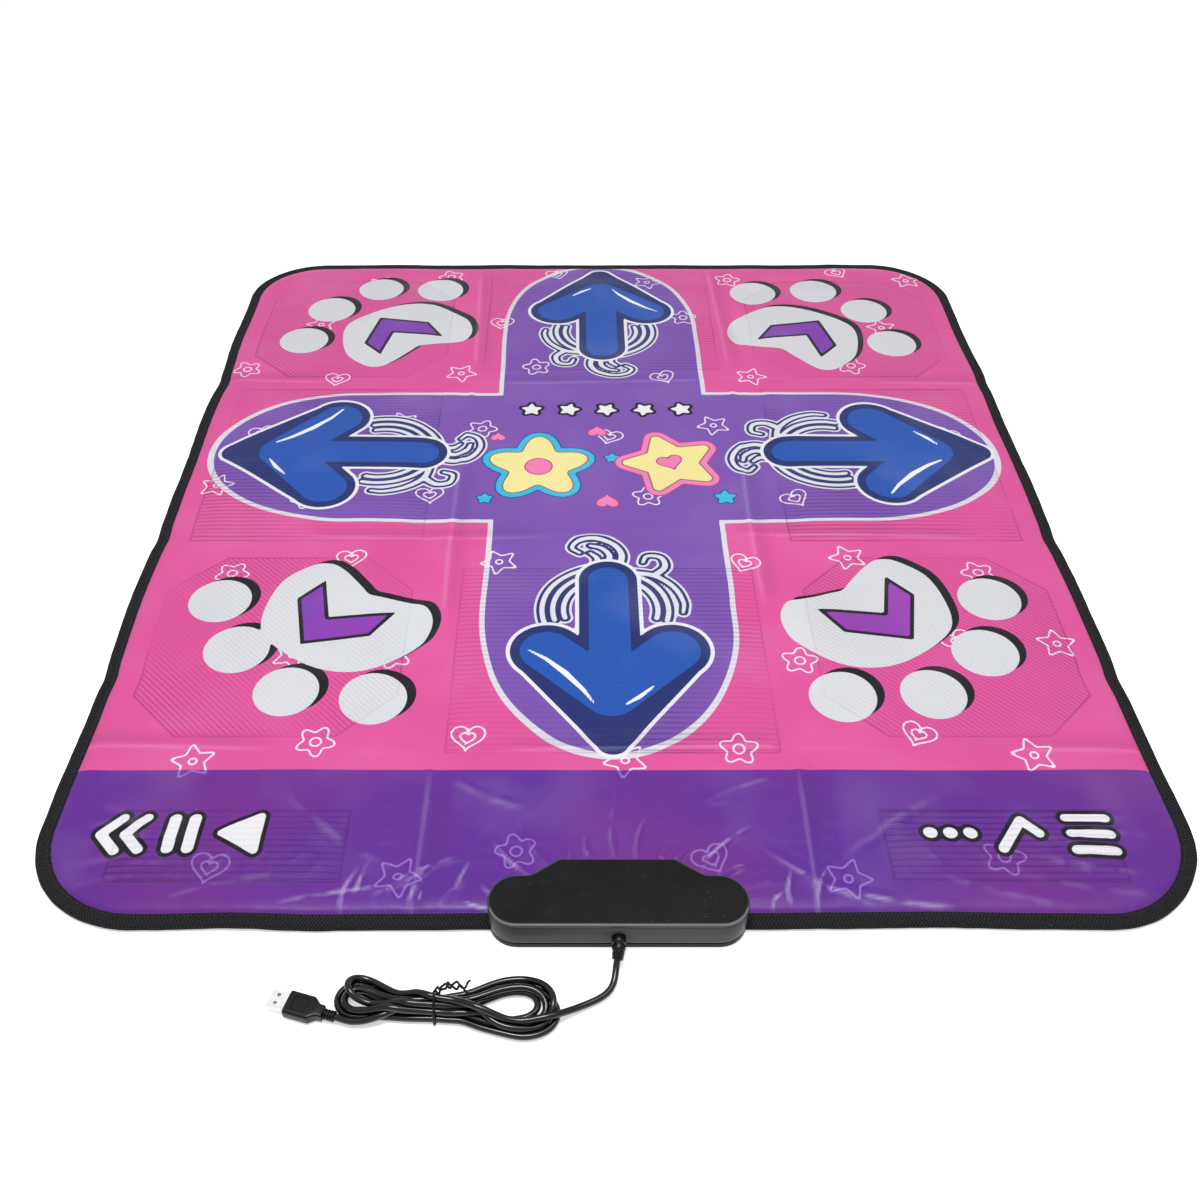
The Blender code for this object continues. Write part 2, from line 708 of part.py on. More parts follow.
def mat_envelope(name, clearance):
    """Everything from below the floor to just above the mat and its binding."""
    top = BINDING_TOP_Z + BINDING_THICKNESS + clearance
    profile = [(-clearance, -2 * MM), (-clearance, top), (BINDING_WIDTH + clearance, top)]
    rise = TOP_COVER_TOP + clearance - top
    profile += [
        (BINDING_WIDTH + MM + COVER_RAMP * x, top + rise * z)
        for x, z in [(0.3, 0.45), (0.6, 0.85), (1.0, 1.0)]
    ]
    return rings_solid(name, profile)


def mat_bed(name):
    """The space above the lower shell's seat: lower under the sewn edge than under the films."""
    edge = EDGE_COVER_Z - CLEARANCE
    start = BINDING_WIDTH + MM
    profile = [
        (start + 0.35 * COVER_RAMP, SEAT_TOP),
        (start, edge),
        (-CLEARANCE, edge),
        (-CLEARANCE, BOX_HEIGHT),
    ]
    return rings_solid(name, profile)


def rings_solid(name, profile):
    """A closed cutter in the mat's outline, from the rings of a profile."""
    bm = bmesh.new()
    rings = mat_rings(bm, profile)
    bm.faces.new(rings[0])
    bm.faces.new(rings[-1])
    return finish_mesh(name, bm, collection=CUTTERS)


def make_upper_shell():
    shell = shell_tray("box_upper_shell", BOX_PARTING_HEIGHT + CLEARANCE / 2, BOX_HEIGHT, BOX_EDGE_RADIUS)
    for index, (x, y) in enumerate(CASE_SCREWS):
        top = BOX_HEIGHT - BOX_WALL / 2
        low = CASE_BOSS_FOOT + CLEARANCE
        join(shell, cylinder(f"upper_boss_{index}", x, y, low, top, CASE_BOSS_RADIUS, collection=CUTTERS))
    for index in range(-3, 4):
        x = index * SEAT_RIB_SPACING
        rib_low = TOP_COVER_Z
        rib_top = BOX_HEIGHT - BOX_WALL / 2
        rear = BOX_REAR - BOX_WALL / 2
        front = NEAR_EDGE + NOTCH_DEPTH + 3 * MM
        size = (SEAT_RIB_WIDTH, rear - front, rib_top - rib_low)
        centre = (x, (rear + front) / 2, (rib_low + rib_top) / 2)
        if abs(x) < BULGE_FLAT_WIDTH / 2:
            join(shell, block(f"seat_rib_{index + 3}", centre, size, collection=CUTTERS))
    bay = mat_envelope("mat_envelope", CLEARANCE)
    cut(bay, notch("envelope_bay", -3 * MM, BOX_HEIGHT, -CLEARANCE))
    cut(shell, bay)
    for index, (x, y) in enumerate(CASE_SCREWS):
        depth = CASE_SCREW_LENGTH + CLEARANCE
        hole = cylinder(
            f"upper_pilot_{index}", x, y, BOX_FLOOR_TOP, BOX_FLOOR_TOP + depth,
            CASE_SCREW_RADIUS + CLEARANCE, 16, collection=CUTTERS,
        )
        cut(shell, hole)
    cut(shell, relief_hole())


def relief_hole():
    """The round hole in the front wall that the strain relief's neck fills."""
    bm = bmesh.new()
    turn = Matrix.Translation((0, BOX_FRONT, CABLE_EXIT_HEIGHT)) @ Matrix.Rotation(math.pi / 2, 4, "X")
    bmesh.ops.create_cone(
        bm,
        cap_ends=True,
        segments=24,
        radius1=RELIEF_NECK_RADIUS + CLEARANCE,
        radius2=RELIEF_NECK_RADIUS + CLEARANCE,
        depth=4 * BOX_WALL,
        matrix=turn,
    )
    return finish_mesh("relief_hole", bm, collection=CUTTERS)


def make_lower_shell():
    """A shallow tray with the mat's seat round its sides and rear."""
    shell = slab("box_lower_shell", box_outline(), 0.0, BOX_PARTING_HEIGHT - CLEARANCE / 2, BLACK_ABS)
    hollow = slab(
        "lower_hollow", box_outline(-BOX_WALL), BOX_FLOOR_TOP, BOX_HEIGHT, collection=CUTTERS
    )
    cut(shell, hollow)
    cut(shell, mat_bed("mat_bed"))
    posts = [(*point, CASE_BOSS_FOOT) for point in CASE_SCREWS]
    posts += [(*point, BOARD_Z - CLEARANCE) for point in BOARD_SCREWS]
    for index, (x, y, top) in enumerate(posts):
        join(shell, cylinder(f"lower_post_{index}", x, y, MM, top, CASE_BOSS_RADIUS, collection=CUTTERS))
    for index, (x, y) in enumerate(CASE_SCREWS):
        shaft = CASE_SCREW_RADIUS + CLEARANCE
        head = CASE_SCREW_HEAD_RADIUS + CLEARANCE
        cut(shell, cylinder(f"case_hole_{index}", x, y, -MM, BOX_HEIGHT, shaft, 16, collection=CUTTERS))
        top = SCREW_HEAD_HEIGHT + CLEARANCE * 2
        cut(shell, cylinder(f"case_counterbore_{index}", x, y, -MM, top, head, collection=CUTTERS))
    for index, (x, y) in enumerate(BOARD_SCREWS):
        shaft = BOARD_SCREW_RADIUS + CLEARANCE
        low = BOARD_SCREW_TIP - CLEARANCE
        cut(shell, cylinder(f"board_pilot_{index}", x, y, low, BOX_HEIGHT, shaft, 16, collection=CUTTERS))


def screw(name, place_xy, head, shaft, radius, head_radius):
    """A pan-head screw that stands on end: head and shaft each from one height to another."""
    body = cylinder(name, *place_xy, *head, head_radius, 16, STEEL)
    join(body, cylinder(name + "_shaft", *place_xy, *shaft, radius, 12, collection=CUTTERS))
    return body


def make_screws():
    for index, (x, y) in enumerate(CASE_SCREWS):
        low = CLEARANCE
        head_top = low + SCREW_HEAD_HEIGHT
        top = low + CASE_SCREW_LENGTH
        screw(
            f"case_screw_{index + 1}", (x, y), (low, head_top), (low + MM, top),
            CASE_SCREW_RADIUS, CASE_SCREW_HEAD_RADIUS,
        )
    for index, (x, y) in enumerate(BOARD_SCREWS):
        low = CLAMP_BAR_TOP + CLEARANCE
        head = (low, low + SCREW_HEAD_HEIGHT)
        screw(
            f"board_screw_{index + 1}", (x, y), head, (BOARD_SCREW_TIP, low + MM),
            BOARD_SCREW_RADIUS, BOARD_SCREW_HEAD_RADIUS,
        )


def make_board():
    centre_y = (BOARD_FRONT + BOARD_REAR) / 2
    outline = rounded_outline(rectangle_corners(BOARD_WIDTH, BOARD_DEPTH, 2 * MM, (0, centre_y)), 3)
    board = slab("circuit_board", outline, BOARD_Z, BOARD_TOP, BOARD_GREEN)
    size = (PRESSURE_STRIP_WIDTH, PRESSURE_STRIP_DEPTH, PRESSURE_STRIP_THICKNESS)
    plain_plate("pressure_strip", size, PRESSURE_STRIP_Z, RUBBER)
    size = (CLAMP_BAR_WIDTH, CLAMP_BAR_DEPTH, CLAMP_BAR_THICKNESS)
    bar = plain_plate("tail_clamp_bar", size, CLAMP_BAR_Z, BLACK_ABS)
    for index, (x, y) in enumerate(BOARD_SCREWS):
        radius = BOARD_SCREW_RADIUS + CLEARANCE
        hole = cylinder(f"clamp_hole_{index}", x, y, 0, BOX_HEIGHT, radius, 16, collection=CUTTERS)
        cut(board, hole)
        cut(bar, hole)


def plain_plate(name, size, low, finish):
    width, depth, thickness = size
    outline = rounded_outline(rectangle_corners(width, depth, depth / 4, (0, CLAMP_Y)), 3)
    return slab(name, outline, low, low + thickness, finish)


def make_board_parts():
    """What is soldered to the board: the sealed chip, two capacitors and the resonator."""
    seat = BOARD_TOP + CLEARANCE
    chip_y = BOARD_FRONT + CHIP_RADIUS + 1.5 * MM
    bm = bmesh.new()
    rings = 4
    previous = None
    for ring in range(rings):
        angle = math.pi / 2 * ring / rings
        radius = CHIP_RADIUS * math.cos(angle)
        height = seat + CHIP_HEIGHT * math.sin(angle)
        loop = [
            bm.verts.new((CHIP_X + radius * math.cos(turn), chip_y + radius * math.sin(turn), height))
            for turn in (math.tau * side / 20 for side in range(20))
        ]
        if previous:
            ring_faces(bm, previous, loop)
        else:
            bm.faces.new(loop)
        previous = loop
    bm.faces.new(previous)
    finish_mesh("chip_cover", bm, BLACK_EPOXY)

    for index, x in enumerate((14 * MM, 21 * MM)):
        y = BOARD_FRONT + CAPACITOR_RADIUS + 2 * MM
        top = seat + CAPACITOR_HEIGHT
        cylinder(f"capacitor_{index + 1}", x, y, seat, top, CAPACITOR_RADIUS, 16, BLACK_EPOXY)

    x = -24 * MM
    y = BOARD_FRONT + RESONATOR_WIDTH / 2 + 4 * MM
    corners = rectangle_corners(RESONATOR_LENGTH, RESONATOR_WIDTH, RESONATOR_WIDTH / 2 - 0.1 * MM, (x, y))
    slab("resonator", rounded_outline(corners, 4), seat, seat + RESONATOR_HEIGHT, STEEL)


def make_wires():
    """Four insulated wires from the lead's cut end down to the board."""
    start_y = BOX_FRONT + BOX_WALL + RELIEF_FLANGE_THICKNESS + 2 * CLEARANCE
    pad_y = BOARD_FRONT + PAD_SETBACK
    for index in range(4):
        x = (index - 1.5) * WIRE_SPACING
        level = CABLE_EXIT_HEIGHT + (CLEARANCE if index % 2 else -CLEARANCE)
        route = [
            (0.7 * x, start_y, level),
            (0.85 * x, start_y + 0.25 * (pad_y - start_y), level - 0.2 * MM),
            (x, start_y + 0.7 * (pad_y - start_y), (level + BOARD_TOP) / 2 + MM),
            (x, pad_y - 0.1 * MM, BOARD_TOP + 2 * MM),
            (x, pad_y, BOARD_TOP + CLEARANCE),
        ]
        tube(f"lead_wire_{index + 1}", smooth_route(route, 3), WIRE_RADIUS, WIRE_PVC, 2)


# Lead, hank and plug
def relief_point(y):
    """Centre of the relief at y: level through wall and collar, then drooping to the floor."""
    share = max(BOX_FRONT - RELIEF_COLLAR - y, 0.0) / (RELIEF_LENGTH - RELIEF_COLLAR)
    return Vector((-RELIEF_DRIFT * share**2, y, CABLE_EXIT_HEIGHT - RELIEF_DROOP * share**2))


def relief_line():
    return [relief_point(BOX_FRONT - out) for out in (RELIEF_LENGTH - MM, RELIEF_LENGTH)]


def make_strain_relief():
    """Moulded grommet: inner flange, neck in the wall, two rings and a taper that droops."""
    wall = BOX_WALL
    inside = BOX_FRONT + wall
    stations = [
        (inside + RELIEF_FLANGE_THICKNESS + CLEARANCE, RELIEF_FLANGE_RADIUS - 0.6 * MM),
        (inside + RELIEF_FLANGE_THICKNESS, RELIEF_FLANGE_RADIUS),
        (inside + CLEARANCE, RELIEF_FLANGE_RADIUS),
        (inside + CLEARANCE - 0.05 * MM, RELIEF_NECK_RADIUS),
        (BOX_FRONT - CLEARANCE, RELIEF_NECK_RADIUS),
        (BOX_FRONT - CLEARANCE - 0.05 * MM, RELIEF_RADIUS),
        (BOX_FRONT - RELIEF_COLLAR, RELIEF_RADIUS),
        (BOX_FRONT - 3.0 * MM, RELIEF_RADIUS - 0.8 * MM),
        (BOX_FRONT - 4.2 * MM, RELIEF_RADIUS - 0.8 * MM),
        (BOX_FRONT - 4.6 * MM, RELIEF_RADIUS - 0.2 * MM),
        (BOX_FRONT - 7.0 * MM, RELIEF_RADIUS - 0.4 * MM),
        (BOX_FRONT - 7.4 * MM, RELIEF_RADIUS - 1.1 * MM),
        (BOX_FRONT - 8.6 * MM, RELIEF_RADIUS - 1.1 * MM),
        (BOX_FRONT - 9.0 * MM, RELIEF_RADIUS - 0.6 * MM),
        (BOX_FRONT - 0.74 * RELIEF_LENGTH, (RELIEF_RADIUS + RELIEF_TIP_RADIUS) / 2),
        (BOX_FRONT - RELIEF_LENGTH, RELIEF_TIP_RADIUS),
    ]
    points = [relief_point(y) for y, _ in stations]
    radii = [radius for _, radius in stations]
    as_mesh(tube("strain_relief", points, RELIEF_RADIUS, CABLE_PVC, 4, radii))


def millimetres(route):
    return [Vector(point) * MM for point in route]


def hank_spread(x):
    """Half-width of the innermost loop at x: wide in the two eyes, drawn in at the waist."""
    if x > HANK_WAIST_X:
        eye, reach = HANK_RIGHT_EYE, HANK_RIGHT_X - HANK_WAIST_X
    else:
        eye, reach = HANK_LEFT_EYE, HANK_WAIST_X - HANK_LEFT_X
    share = min(abs(x - HANK_WAIST_X) / (reach * 0.62), 1.0)
    blend = share * share * (3 - 2 * share)
    return HANK_STEP / 2 + (eye - HANK_STEP / 2) * blend


def hank_middle(x):
    share = min(max((HANK_WAIST_X - x) / (HANK_WAIST_X - HANK_LEFT_X), 0.0), 1.0)
    return HANK_Y + HANK_LEFT_SHIFT * share * share * (3 - 2 * share)


def hank_lift(x):
    near = max(0.0, 1.0 - ((x - HANK_WAIST_X) / (24 * MM)) ** 2)
    return HANK_WAIST_LIFT * near * near


def hank_runs():
    """Runs as (side, slot, layer): loops inwards on top, outwards below, then one more near run.

    Side -1 is the near one, and slot 0 the innermost.
    """
    slots = range(HANK_LOOPS_PER_LAYER)
    runs = [(side, slot, 1) for slot in reversed(slots) for side in (-1, 1)]
    runs += [(side, slot, 0) for slot in slots for side in (-1, 1)]
    return [*runs, (-1, HANK_LOOPS_PER_LAYER, 0)]


def hank_point(x, side, slot, layer):
    spread = hank_spread(x) + slot * HANK_STEP
    height = CABLE_RADIUS + HANK_FLOOR_GAP + hank_lift(x) + layer * HANK_STEP
    return Vector((x, hank_middle(x) + side * spread, height))


def bend_reach(first, second):
    """How far a bend goes past the runs' ends: a step more for each loop it goes round."""
    if first[2] != second[2]:
        return HANK_CLIMB_REACH
    return HANK_INNER_REACH + math.ceil((first[1] + second[1]) / 2) * HANK_STEP


def hank_route():
    """Runs joined by half-round bends: down one side, round the end, back along the other."""
    runs = hank_runs()
    widest = HANK_LOOPS_PER_LAYER
    right = HANK_RIGHT_X - CABLE_RADIUS - HANK_INNER_REACH - widest * HANK_STEP
    left = HANK_LEFT_X + CABLE_RADIUS + HANK_INNER_REACH + (widest - 1) * HANK_STEP
    route = []
    for index, run in enumerate(runs):
        heading_left = run[0] < 0
        start, end = (right, left) if heading_left else (left, right)
        if index == 0:
            start = HANK_START_X
        if index == len(runs) - 1:
            end = HANK_END_X
        for step in range(HANK_RUN_POINTS + 1):
            route.append(hank_point(start + (end - start) * step / HANK_RUN_POINTS, *run))
        if index == len(runs) - 1:
            break
        following = runs[index + 1]
        first, last = hank_point(end, *run), hank_point(end, *following)
        middle, half = (first + last) / 2, (first - last) / 2
        reach = bend_reach(run, following) * (-1 if heading_left else 1)
        for step in range(1, HANK_BEND_POINTS):
            angle = math.pi * step / HANK_BEND_POINTS
            route.append(middle + half * math.cos(angle) + Vector((reach * math.sin(angle), 0, 0)))
    return route


def least_gap(route, diameter, apart=8):
    """Least distance between parts of the cord that are not neighbours, less its diameter."""
    fine = []
    for first, second in zip(route, route[1:]):
        fine += [first.lerp(second, step / 4) for step in range(4)]
    skip = apart * 4
    best = min(
        (fine[i] - fine[j]).length for i in range(len(fine)) for j in range(i + skip, len(fine))
    )
    return best - diameter


def route_length(route):
    return sum((second - first).length for first, second in zip(route, route[1:]))


def straight_end(point, direction, gap, length):
    """Two points that carry a cord square out of a face at point."""
    return [point + direction * gap, point + direction * (gap + length)]


def make_lead():
    """The lead from its relief to the hank, the hank, and the tail from there to the plug."""
    hank = hank_route()
    relief = relief_line()
    leaving = (relief[-1] - relief[-2]).normalized()
    first = straight_end(relief[-1], leaving, CLEARANCE, CABLE_DIAMETER)
    into = straight_end(hank[0], Vector((1, 0, 0)), CLEARANCE, CABLE_DIAMETER)
    lead = smooth_route([*first, *millimetres(LEAD_ROUTE_MM), *reversed(into)], 3)
    out = straight_end(hank[-1], Vector((-1, 0, 0)), CLEARANCE, CABLE_DIAMETER)
    plug = straight_end(plug_entry(), -plug_direction(), CLEARANCE, CABLE_DIAMETER / 2)
    tail = smooth_route([*out, *millimetres(TAIL_ROUTE_MM), *reversed(plug)], 3)
    tube("cable_lead", lead, CABLE_RADIUS, CABLE_PVC, 2)
    tube("cable_hank", hank, CABLE_RADIUS, CABLE_PVC, 1)
    tube("cable_tail", tail, CABLE_RADIUS, CABLE_PVC, 2)
    total = route_length(lead) + route_length(hank) + route_length(tail)
    print("cord length", round(total, 3), "m")
    print("hank's least gap to itself", round(least_gap(hank, CABLE_DIAMETER) / MM, 2), "mm")


def tie_line():
    """One wire: a twisted tail, a turn round the hank's waist, and back up the twist."""
    x = HANK_WAIST_X
    middle = hank_middle(x)
    clear = CABLE_RADIUS + CLEARANCE + TIE_RADIUS
    low = hank_point(x, 1, 0, 0).z - clear
    high = hank_point(x, 1, 0, 1).z + clear
    far = hank_point(x, 1, 1, 0).y + clear
    near_top = hank_point(x, -1, 1, 1).y - clear * 0.8
    near_low = hank_point(x, -1, 2, 0).y - clear
    shoulder = low + clear + CABLE_RADIUS
    start = middle + 4 * MM
    bend = 0.9 * clear
    corners = [
        (start, high, 0),
        (near_top, high, bend),
        (near_low, shoulder, bend),
        (near_low, low, bend),
        (far, low, bend),
        (far, high, bend),
        (start + MM, high, 0),
    ]
    loop = rounded_outline(corners, 3)
    count = len(loop) - 1
    spread = 2.2 * TIE_RADIUS
    turn = [
        Vector((x + spread * (2 * index / count - 1) * 0.8, y, z)) for index, (y, z) in enumerate(loop)
    ]
    axis = Vector((0.84, 0.5, 0.2)).normalized()
    side = (Vector((-1, 0, 0)) - axis * Vector((-1, 0, 0)).dot(axis)).normalized()
    up = axis.cross(side)
    root = Vector((x + 1.4 * MM, start + 1.6 * MM, high + 2.4 * MM))
    steps = TIE_TWIST_TURNS * 8
    tails = []
    for phase in (0, math.pi):
        tail = []
        for step in range(steps + 1):
            angle = phase + math.tau * step / 8
            out = root + axis * (TIE_TWIST_LENGTH * step / steps)
            tail.append(out + (side * math.cos(angle) + up * math.sin(angle)) * spread * 0.75)
        tails.append(tail)
    return [*reversed(tails[0]), *turn, *tails[1]]


def make_twist_tie():
    line = tie_line()
    tube("twist_tie", line, TIE_RADIUS, CABLE_PVC, 1)
    print("tie's least gap to itself", round(least_gap(line, 2 * TIE_RADIUS, 3) / MM, 2), "mm")


def plug_direction():
    return Vector((math.cos(PLUG_ANGLE), math.sin(PLUG_ANGLE), 0))


def plug_entry():
    return Vector((PLUG_ENTRY_X, PLUG_ENTRY_Y, PLUG_THICKNESS / 2))


def seat_on_plug(made):
    """Turn and carry a piece modelled along +X from the cord's entry to where the plug lies."""
    made.matrix_world = Matrix.Translation(plug_entry()) @ Matrix.Rotation(PLUG_ANGLE, 4, "Z")
    return made


PLUG_FRONT = PLUG_RELIEF_LENGTH + PLUG_NECK_LENGTH + PLUG_SHOULDER_LENGTH + PLUG_BODY_LENGTH


def make_plug_overmould():
    """Moulded grip: a flat body with rounded edges, a tapered neck and a ribbed relief."""
    neck = PLUG_RELIEF_LENGTH
    shoulder = neck + PLUG_NECK_LENGTH
    body = shoulder + PLUG_SHOULDER_LENGTH
    half = PLUG_WIDTH / 2
    narrow = PLUG_NECK_WIDTH / 2
    corners = [
        (neck, -narrow, 0.8 * MM),
        (shoulder, -narrow, 2 * MM),
        (body, -half, 2.5 * MM),
        (PLUG_FRONT, -half, 0.8 * MM),
        (PLUG_FRONT, half, 0.8 * MM),
        (body, half, 2.5 * MM),
        (shoulder, narrow, 2 * MM),
        (neck, narrow, 0.8 * MM),
    ]
    thick = PLUG_THICKNESS / 2
    grip = slab("plug_overmould", rounded_outline(corners, 3), -thick, thick, CABLE_PVC)
    round_edges = grip.modifiers.new("edges", "BEVEL")
    round_edges.width = 0.9 * MM
    round_edges.segments = 2
    round_edges.limit_method = "ANGLE"
    round_edges.angle_limit = math.radians(60)
    stations = []
    rings = 4
    pitch = PLUG_RELIEF_LENGTH / rings
    for ring in range(rings):
        start = ring * pitch
        stations += [
            (start, PLUG_RELIEF_RADIUS),
            (start + 0.55 * pitch, PLUG_RELIEF_RADIUS),
            (start + 0.6 * pitch, CABLE_RADIUS + 0.4 * MM),
            (start + 0.95 * pitch, CABLE_RADIUS + 0.4 * MM),
        ]
    stations.append((PLUG_RELIEF_LENGTH + MM, CABLE_RADIUS + 0.4 * MM))
    points = [(x, 0, 0) for x, _ in stations]
    radii = [radius for _, radius in stations]
    relief = as_mesh(tube("plug_relief", points, PLUG_RELIEF_RADIUS, CABLE_PVC, 2, radii))
    PARTS.objects.unlink(relief)
    CUTTERS.objects.link(relief)
    relief.hide_render = True
    relief.display_type = "WIRE"
    join(grip, relief)
    for side in (-1, 1):
        recess = block(
            f"plug_panel_{side + 2}",
            (body + 0.47 * PLUG_BODY_LENGTH, 0, side * thick),
            (0.62 * PLUG_BODY_LENGTH, 0.62 * PLUG_WIDTH, 2 * PLUG_PANEL_DEPTH),
            collection=CUTTERS,
        )
        cut(grip, seat_on_plug(recess))
    socket = block(
        "plug_socket",
        (PLUG_FRONT, 0, 0),
        (2 * SHELL_SUNK + 2 * CLEARANCE, SHELL_WIDTH + 2 * CLEARANCE, SHELL_HEIGHT + 2 * CLEARANCE),
        collection=CUTTERS,
    )
    cut(grip, seat_on_plug(socket))
    seat_on_plug(relief)
    seat_on_plug(grip)


def make_usb_shell():
    """A folded metal tube, open at the front, with two latch windows in each broad face."""
    low = PLUG_FRONT - SHELL_SUNK
    high = PLUG_FRONT + SHELL_LENGTH
    middle = ((low + high) / 2, 0, 0)
    shell = block("usb_shell", middle, (high - low, SHELL_WIDTH, SHELL_HEIGHT), PLATED, bevel=0.5 * MM)
    inside = (2 * (high - low), SHELL_WIDTH - 2 * SHELL_WALL, SHELL_HEIGHT - 2 * SHELL_WALL)
    cut(shell, seat_on_plug(block("shell_inside", middle, inside, collection=CUTTERS)))
    for index, side in enumerate((-1, 1)):
        window = block(
            f"latch_window_{index}",
            (PLUG_FRONT + 0.55 * SHELL_LENGTH, side * 0.24 * SHELL_WIDTH, 0),
            (2.2 * MM, 2.2 * MM, 2 * SHELL_HEIGHT),
            collection=CUTTERS,
        )
        cut(shell, seat_on_plug(window))
    seat_on_plug(shell)


def make_usb_inside():
    """The insulating tongue on the shell's floor, and the four strips that lie on it."""
    low = PLUG_FRONT - SHELL_SUNK + CLEARANCE
    high = PLUG_FRONT + SHELL_LENGTH - 0.8 * MM
    floor = -SHELL_HEIGHT / 2 + SHELL_WALL + CLEARANCE
    width = SHELL_WIDTH - 2 * SHELL_WALL - 2 * CLEARANCE
    top = floor + TONGUE_THICKNESS
    centre = ((low + high) / 2, 0, (floor + top) / 2)
    seat_on_plug(block("usb_tongue", centre, (high - low, width, TONGUE_THICKNESS), RUBBER))
    for index in range(4):
        y = (index - 1.5) * CONTACT_STRIP_SPACING
        length = 7.4 * MM if index in (1, 2) else 8.4 * MM
        centre = (high - 1.2 * MM - length / 2, y, top + CLEARANCE + CONTACT_STRIP_THICKNESS / 2)
        size = (length, CONTACT_STRIP_WIDTH, CONTACT_STRIP_THICKNESS)
        seat_on_plug(block(f"usb_contact_{index + 1}", centre, size, GOLD))


def make_everything():
    make_top_cover()
    make_foams_and_films()
    make_contacts()
    make_base_cover()
    make_binding()
    make_upper_shell()
    make_lower_shell()
    make_board()
    make_board_parts()
    make_wires()
    make_screws()
    make_strain_relief()
    make_lead()
    make_twist_tie()
    make_plug_overmould()
    make_usb_shell()
    make_usb_inside()


make_everything()
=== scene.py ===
import json
from functools import partial
from math import atan2, copysign, cos, dist, pi, radians, sin, sqrt, tan, tau

import bmesh
import bpy
import numpy as np
from mathutils import Matrix, Vector, noise

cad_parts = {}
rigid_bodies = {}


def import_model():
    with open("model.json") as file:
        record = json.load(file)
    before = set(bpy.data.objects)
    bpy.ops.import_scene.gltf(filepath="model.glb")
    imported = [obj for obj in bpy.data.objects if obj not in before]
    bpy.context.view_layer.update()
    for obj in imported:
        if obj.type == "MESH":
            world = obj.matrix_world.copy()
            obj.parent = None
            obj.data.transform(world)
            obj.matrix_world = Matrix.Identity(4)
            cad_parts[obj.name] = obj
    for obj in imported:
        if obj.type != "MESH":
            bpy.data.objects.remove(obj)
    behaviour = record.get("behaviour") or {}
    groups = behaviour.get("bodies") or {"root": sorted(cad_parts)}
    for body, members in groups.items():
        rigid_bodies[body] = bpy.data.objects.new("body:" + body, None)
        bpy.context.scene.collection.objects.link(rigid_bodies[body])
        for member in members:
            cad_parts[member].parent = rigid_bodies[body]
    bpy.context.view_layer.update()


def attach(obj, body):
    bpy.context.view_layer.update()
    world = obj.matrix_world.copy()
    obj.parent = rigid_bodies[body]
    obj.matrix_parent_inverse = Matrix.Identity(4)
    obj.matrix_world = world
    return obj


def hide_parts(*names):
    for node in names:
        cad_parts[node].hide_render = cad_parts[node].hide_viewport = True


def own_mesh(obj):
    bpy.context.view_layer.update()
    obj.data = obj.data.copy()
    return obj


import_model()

mm = 0.001

# Sizes, one dictionary per piece: in metres where under 1 and in mm above, apart from the weave's scale. The zones are
# counted from the mat's near edge
mat = dict(width=0.81, depth=0.92, nearEdge=-0.454, stripEdge=-0.323, cornerRadius=0.08, top=0.007, edgeTop=0.0033,
           rampStart=0.0105, rampEnd=0.024, cell=0.002, coverInset=0.005, zoneGrow=6.0, zoneCut=42.0, hatch=0.0052,
           weave=455.0)
zones = {"press_up": (0, 252, 250, 209), "press_down": (0, 783.5, 250, 209), "press_left": (269, 517.75, 209, 246.5),
         "press_right": (-269, 517.75, 209, 246.5), "press_up_left": (270, 267, 207, 207),
         "press_up_right": (-270, 267, 207, 207), "press_down_left": (270, 768.5, 207, 207),
         "press_down_right": (-270, 768.5, 207, 207), "press_start": (-268, 64, 160, 60),
         "press_select": (268, 64, 160, 60)}
binding = dict(width=0.011, step=0.0011, open=0.0825, pitch=0.0024, turn=0.0046)
underside = dict(cell=6.0, hem=6.5, dotHem=22, dotPitch=12, rowPitch=12.2, dotWidth=0.0042, dotHeight=0.0007)
box = dict(width=0.171, endDepth=0.039, depth=0.052, height=0.025, overhang=0.012, bulgeFlat=0.079, bulgeFoot=0.117,
           bulgeCorner=0.006, bulgeFillet=0.013, seam=4.15, groove=2.6, edgeRadius=1.5, onMat=8.0, onEdge=5.4)
boxFront = mat["nearEdge"] - box["overhang"]
boxRear = boxFront + box["depth"]
nearMiddle = np.array([0, mat["nearEdge"]])
matHalf = np.array([mat["width"] / 2, mat["depth"] / 2])


# Colours and nodes
def linear(code):
    parts = [int(code[i:i + 2], 16) / 255 for i in (1, 3, 5)]
    return (*[c / 12.92 if c <= 0.04045 else ((c + 0.055) / 1.055) ** 2.4 for c in parts], 1.0)


def setInputs(tree, node, *inputs, **named):
    # Values and links fill the enabled sockets in their own order, or go by name
    pairs = list(zip([socket for socket in node.inputs if socket.enabled], inputs))
    for socket, value in pairs + [(node.inputs[key.replace("_", " ")], value) for key, value in named.items()]:
        if isinstance(value, bpy.types.Node):
            value = next(output for output in value.outputs if output.enabled)
        if isinstance(value, bpy.types.NodeSocket):
            tree.links.new(value, socket)
        else:
            socket.default_value = linear(value) if isinstance(value, str) and value[0] == "#" else value


def addNode(tree, kind, *inputs, **named):
    # A kind in capitals is an operation of the Math node; names in small letters are settings, the others inputs
    if kind.isupper():
        kind, named["operation"] = "Math", kind
    node = tree.nodes.new(kind if kind.startswith(("Geometry", "Function", "NodeGroup")) else "ShaderNode" + kind)
    for key in [key for key in named if key[0].islower()]:
        setattr(node, key, named.pop(key))
    setInputs(tree, node, *inputs, **named)
    return node


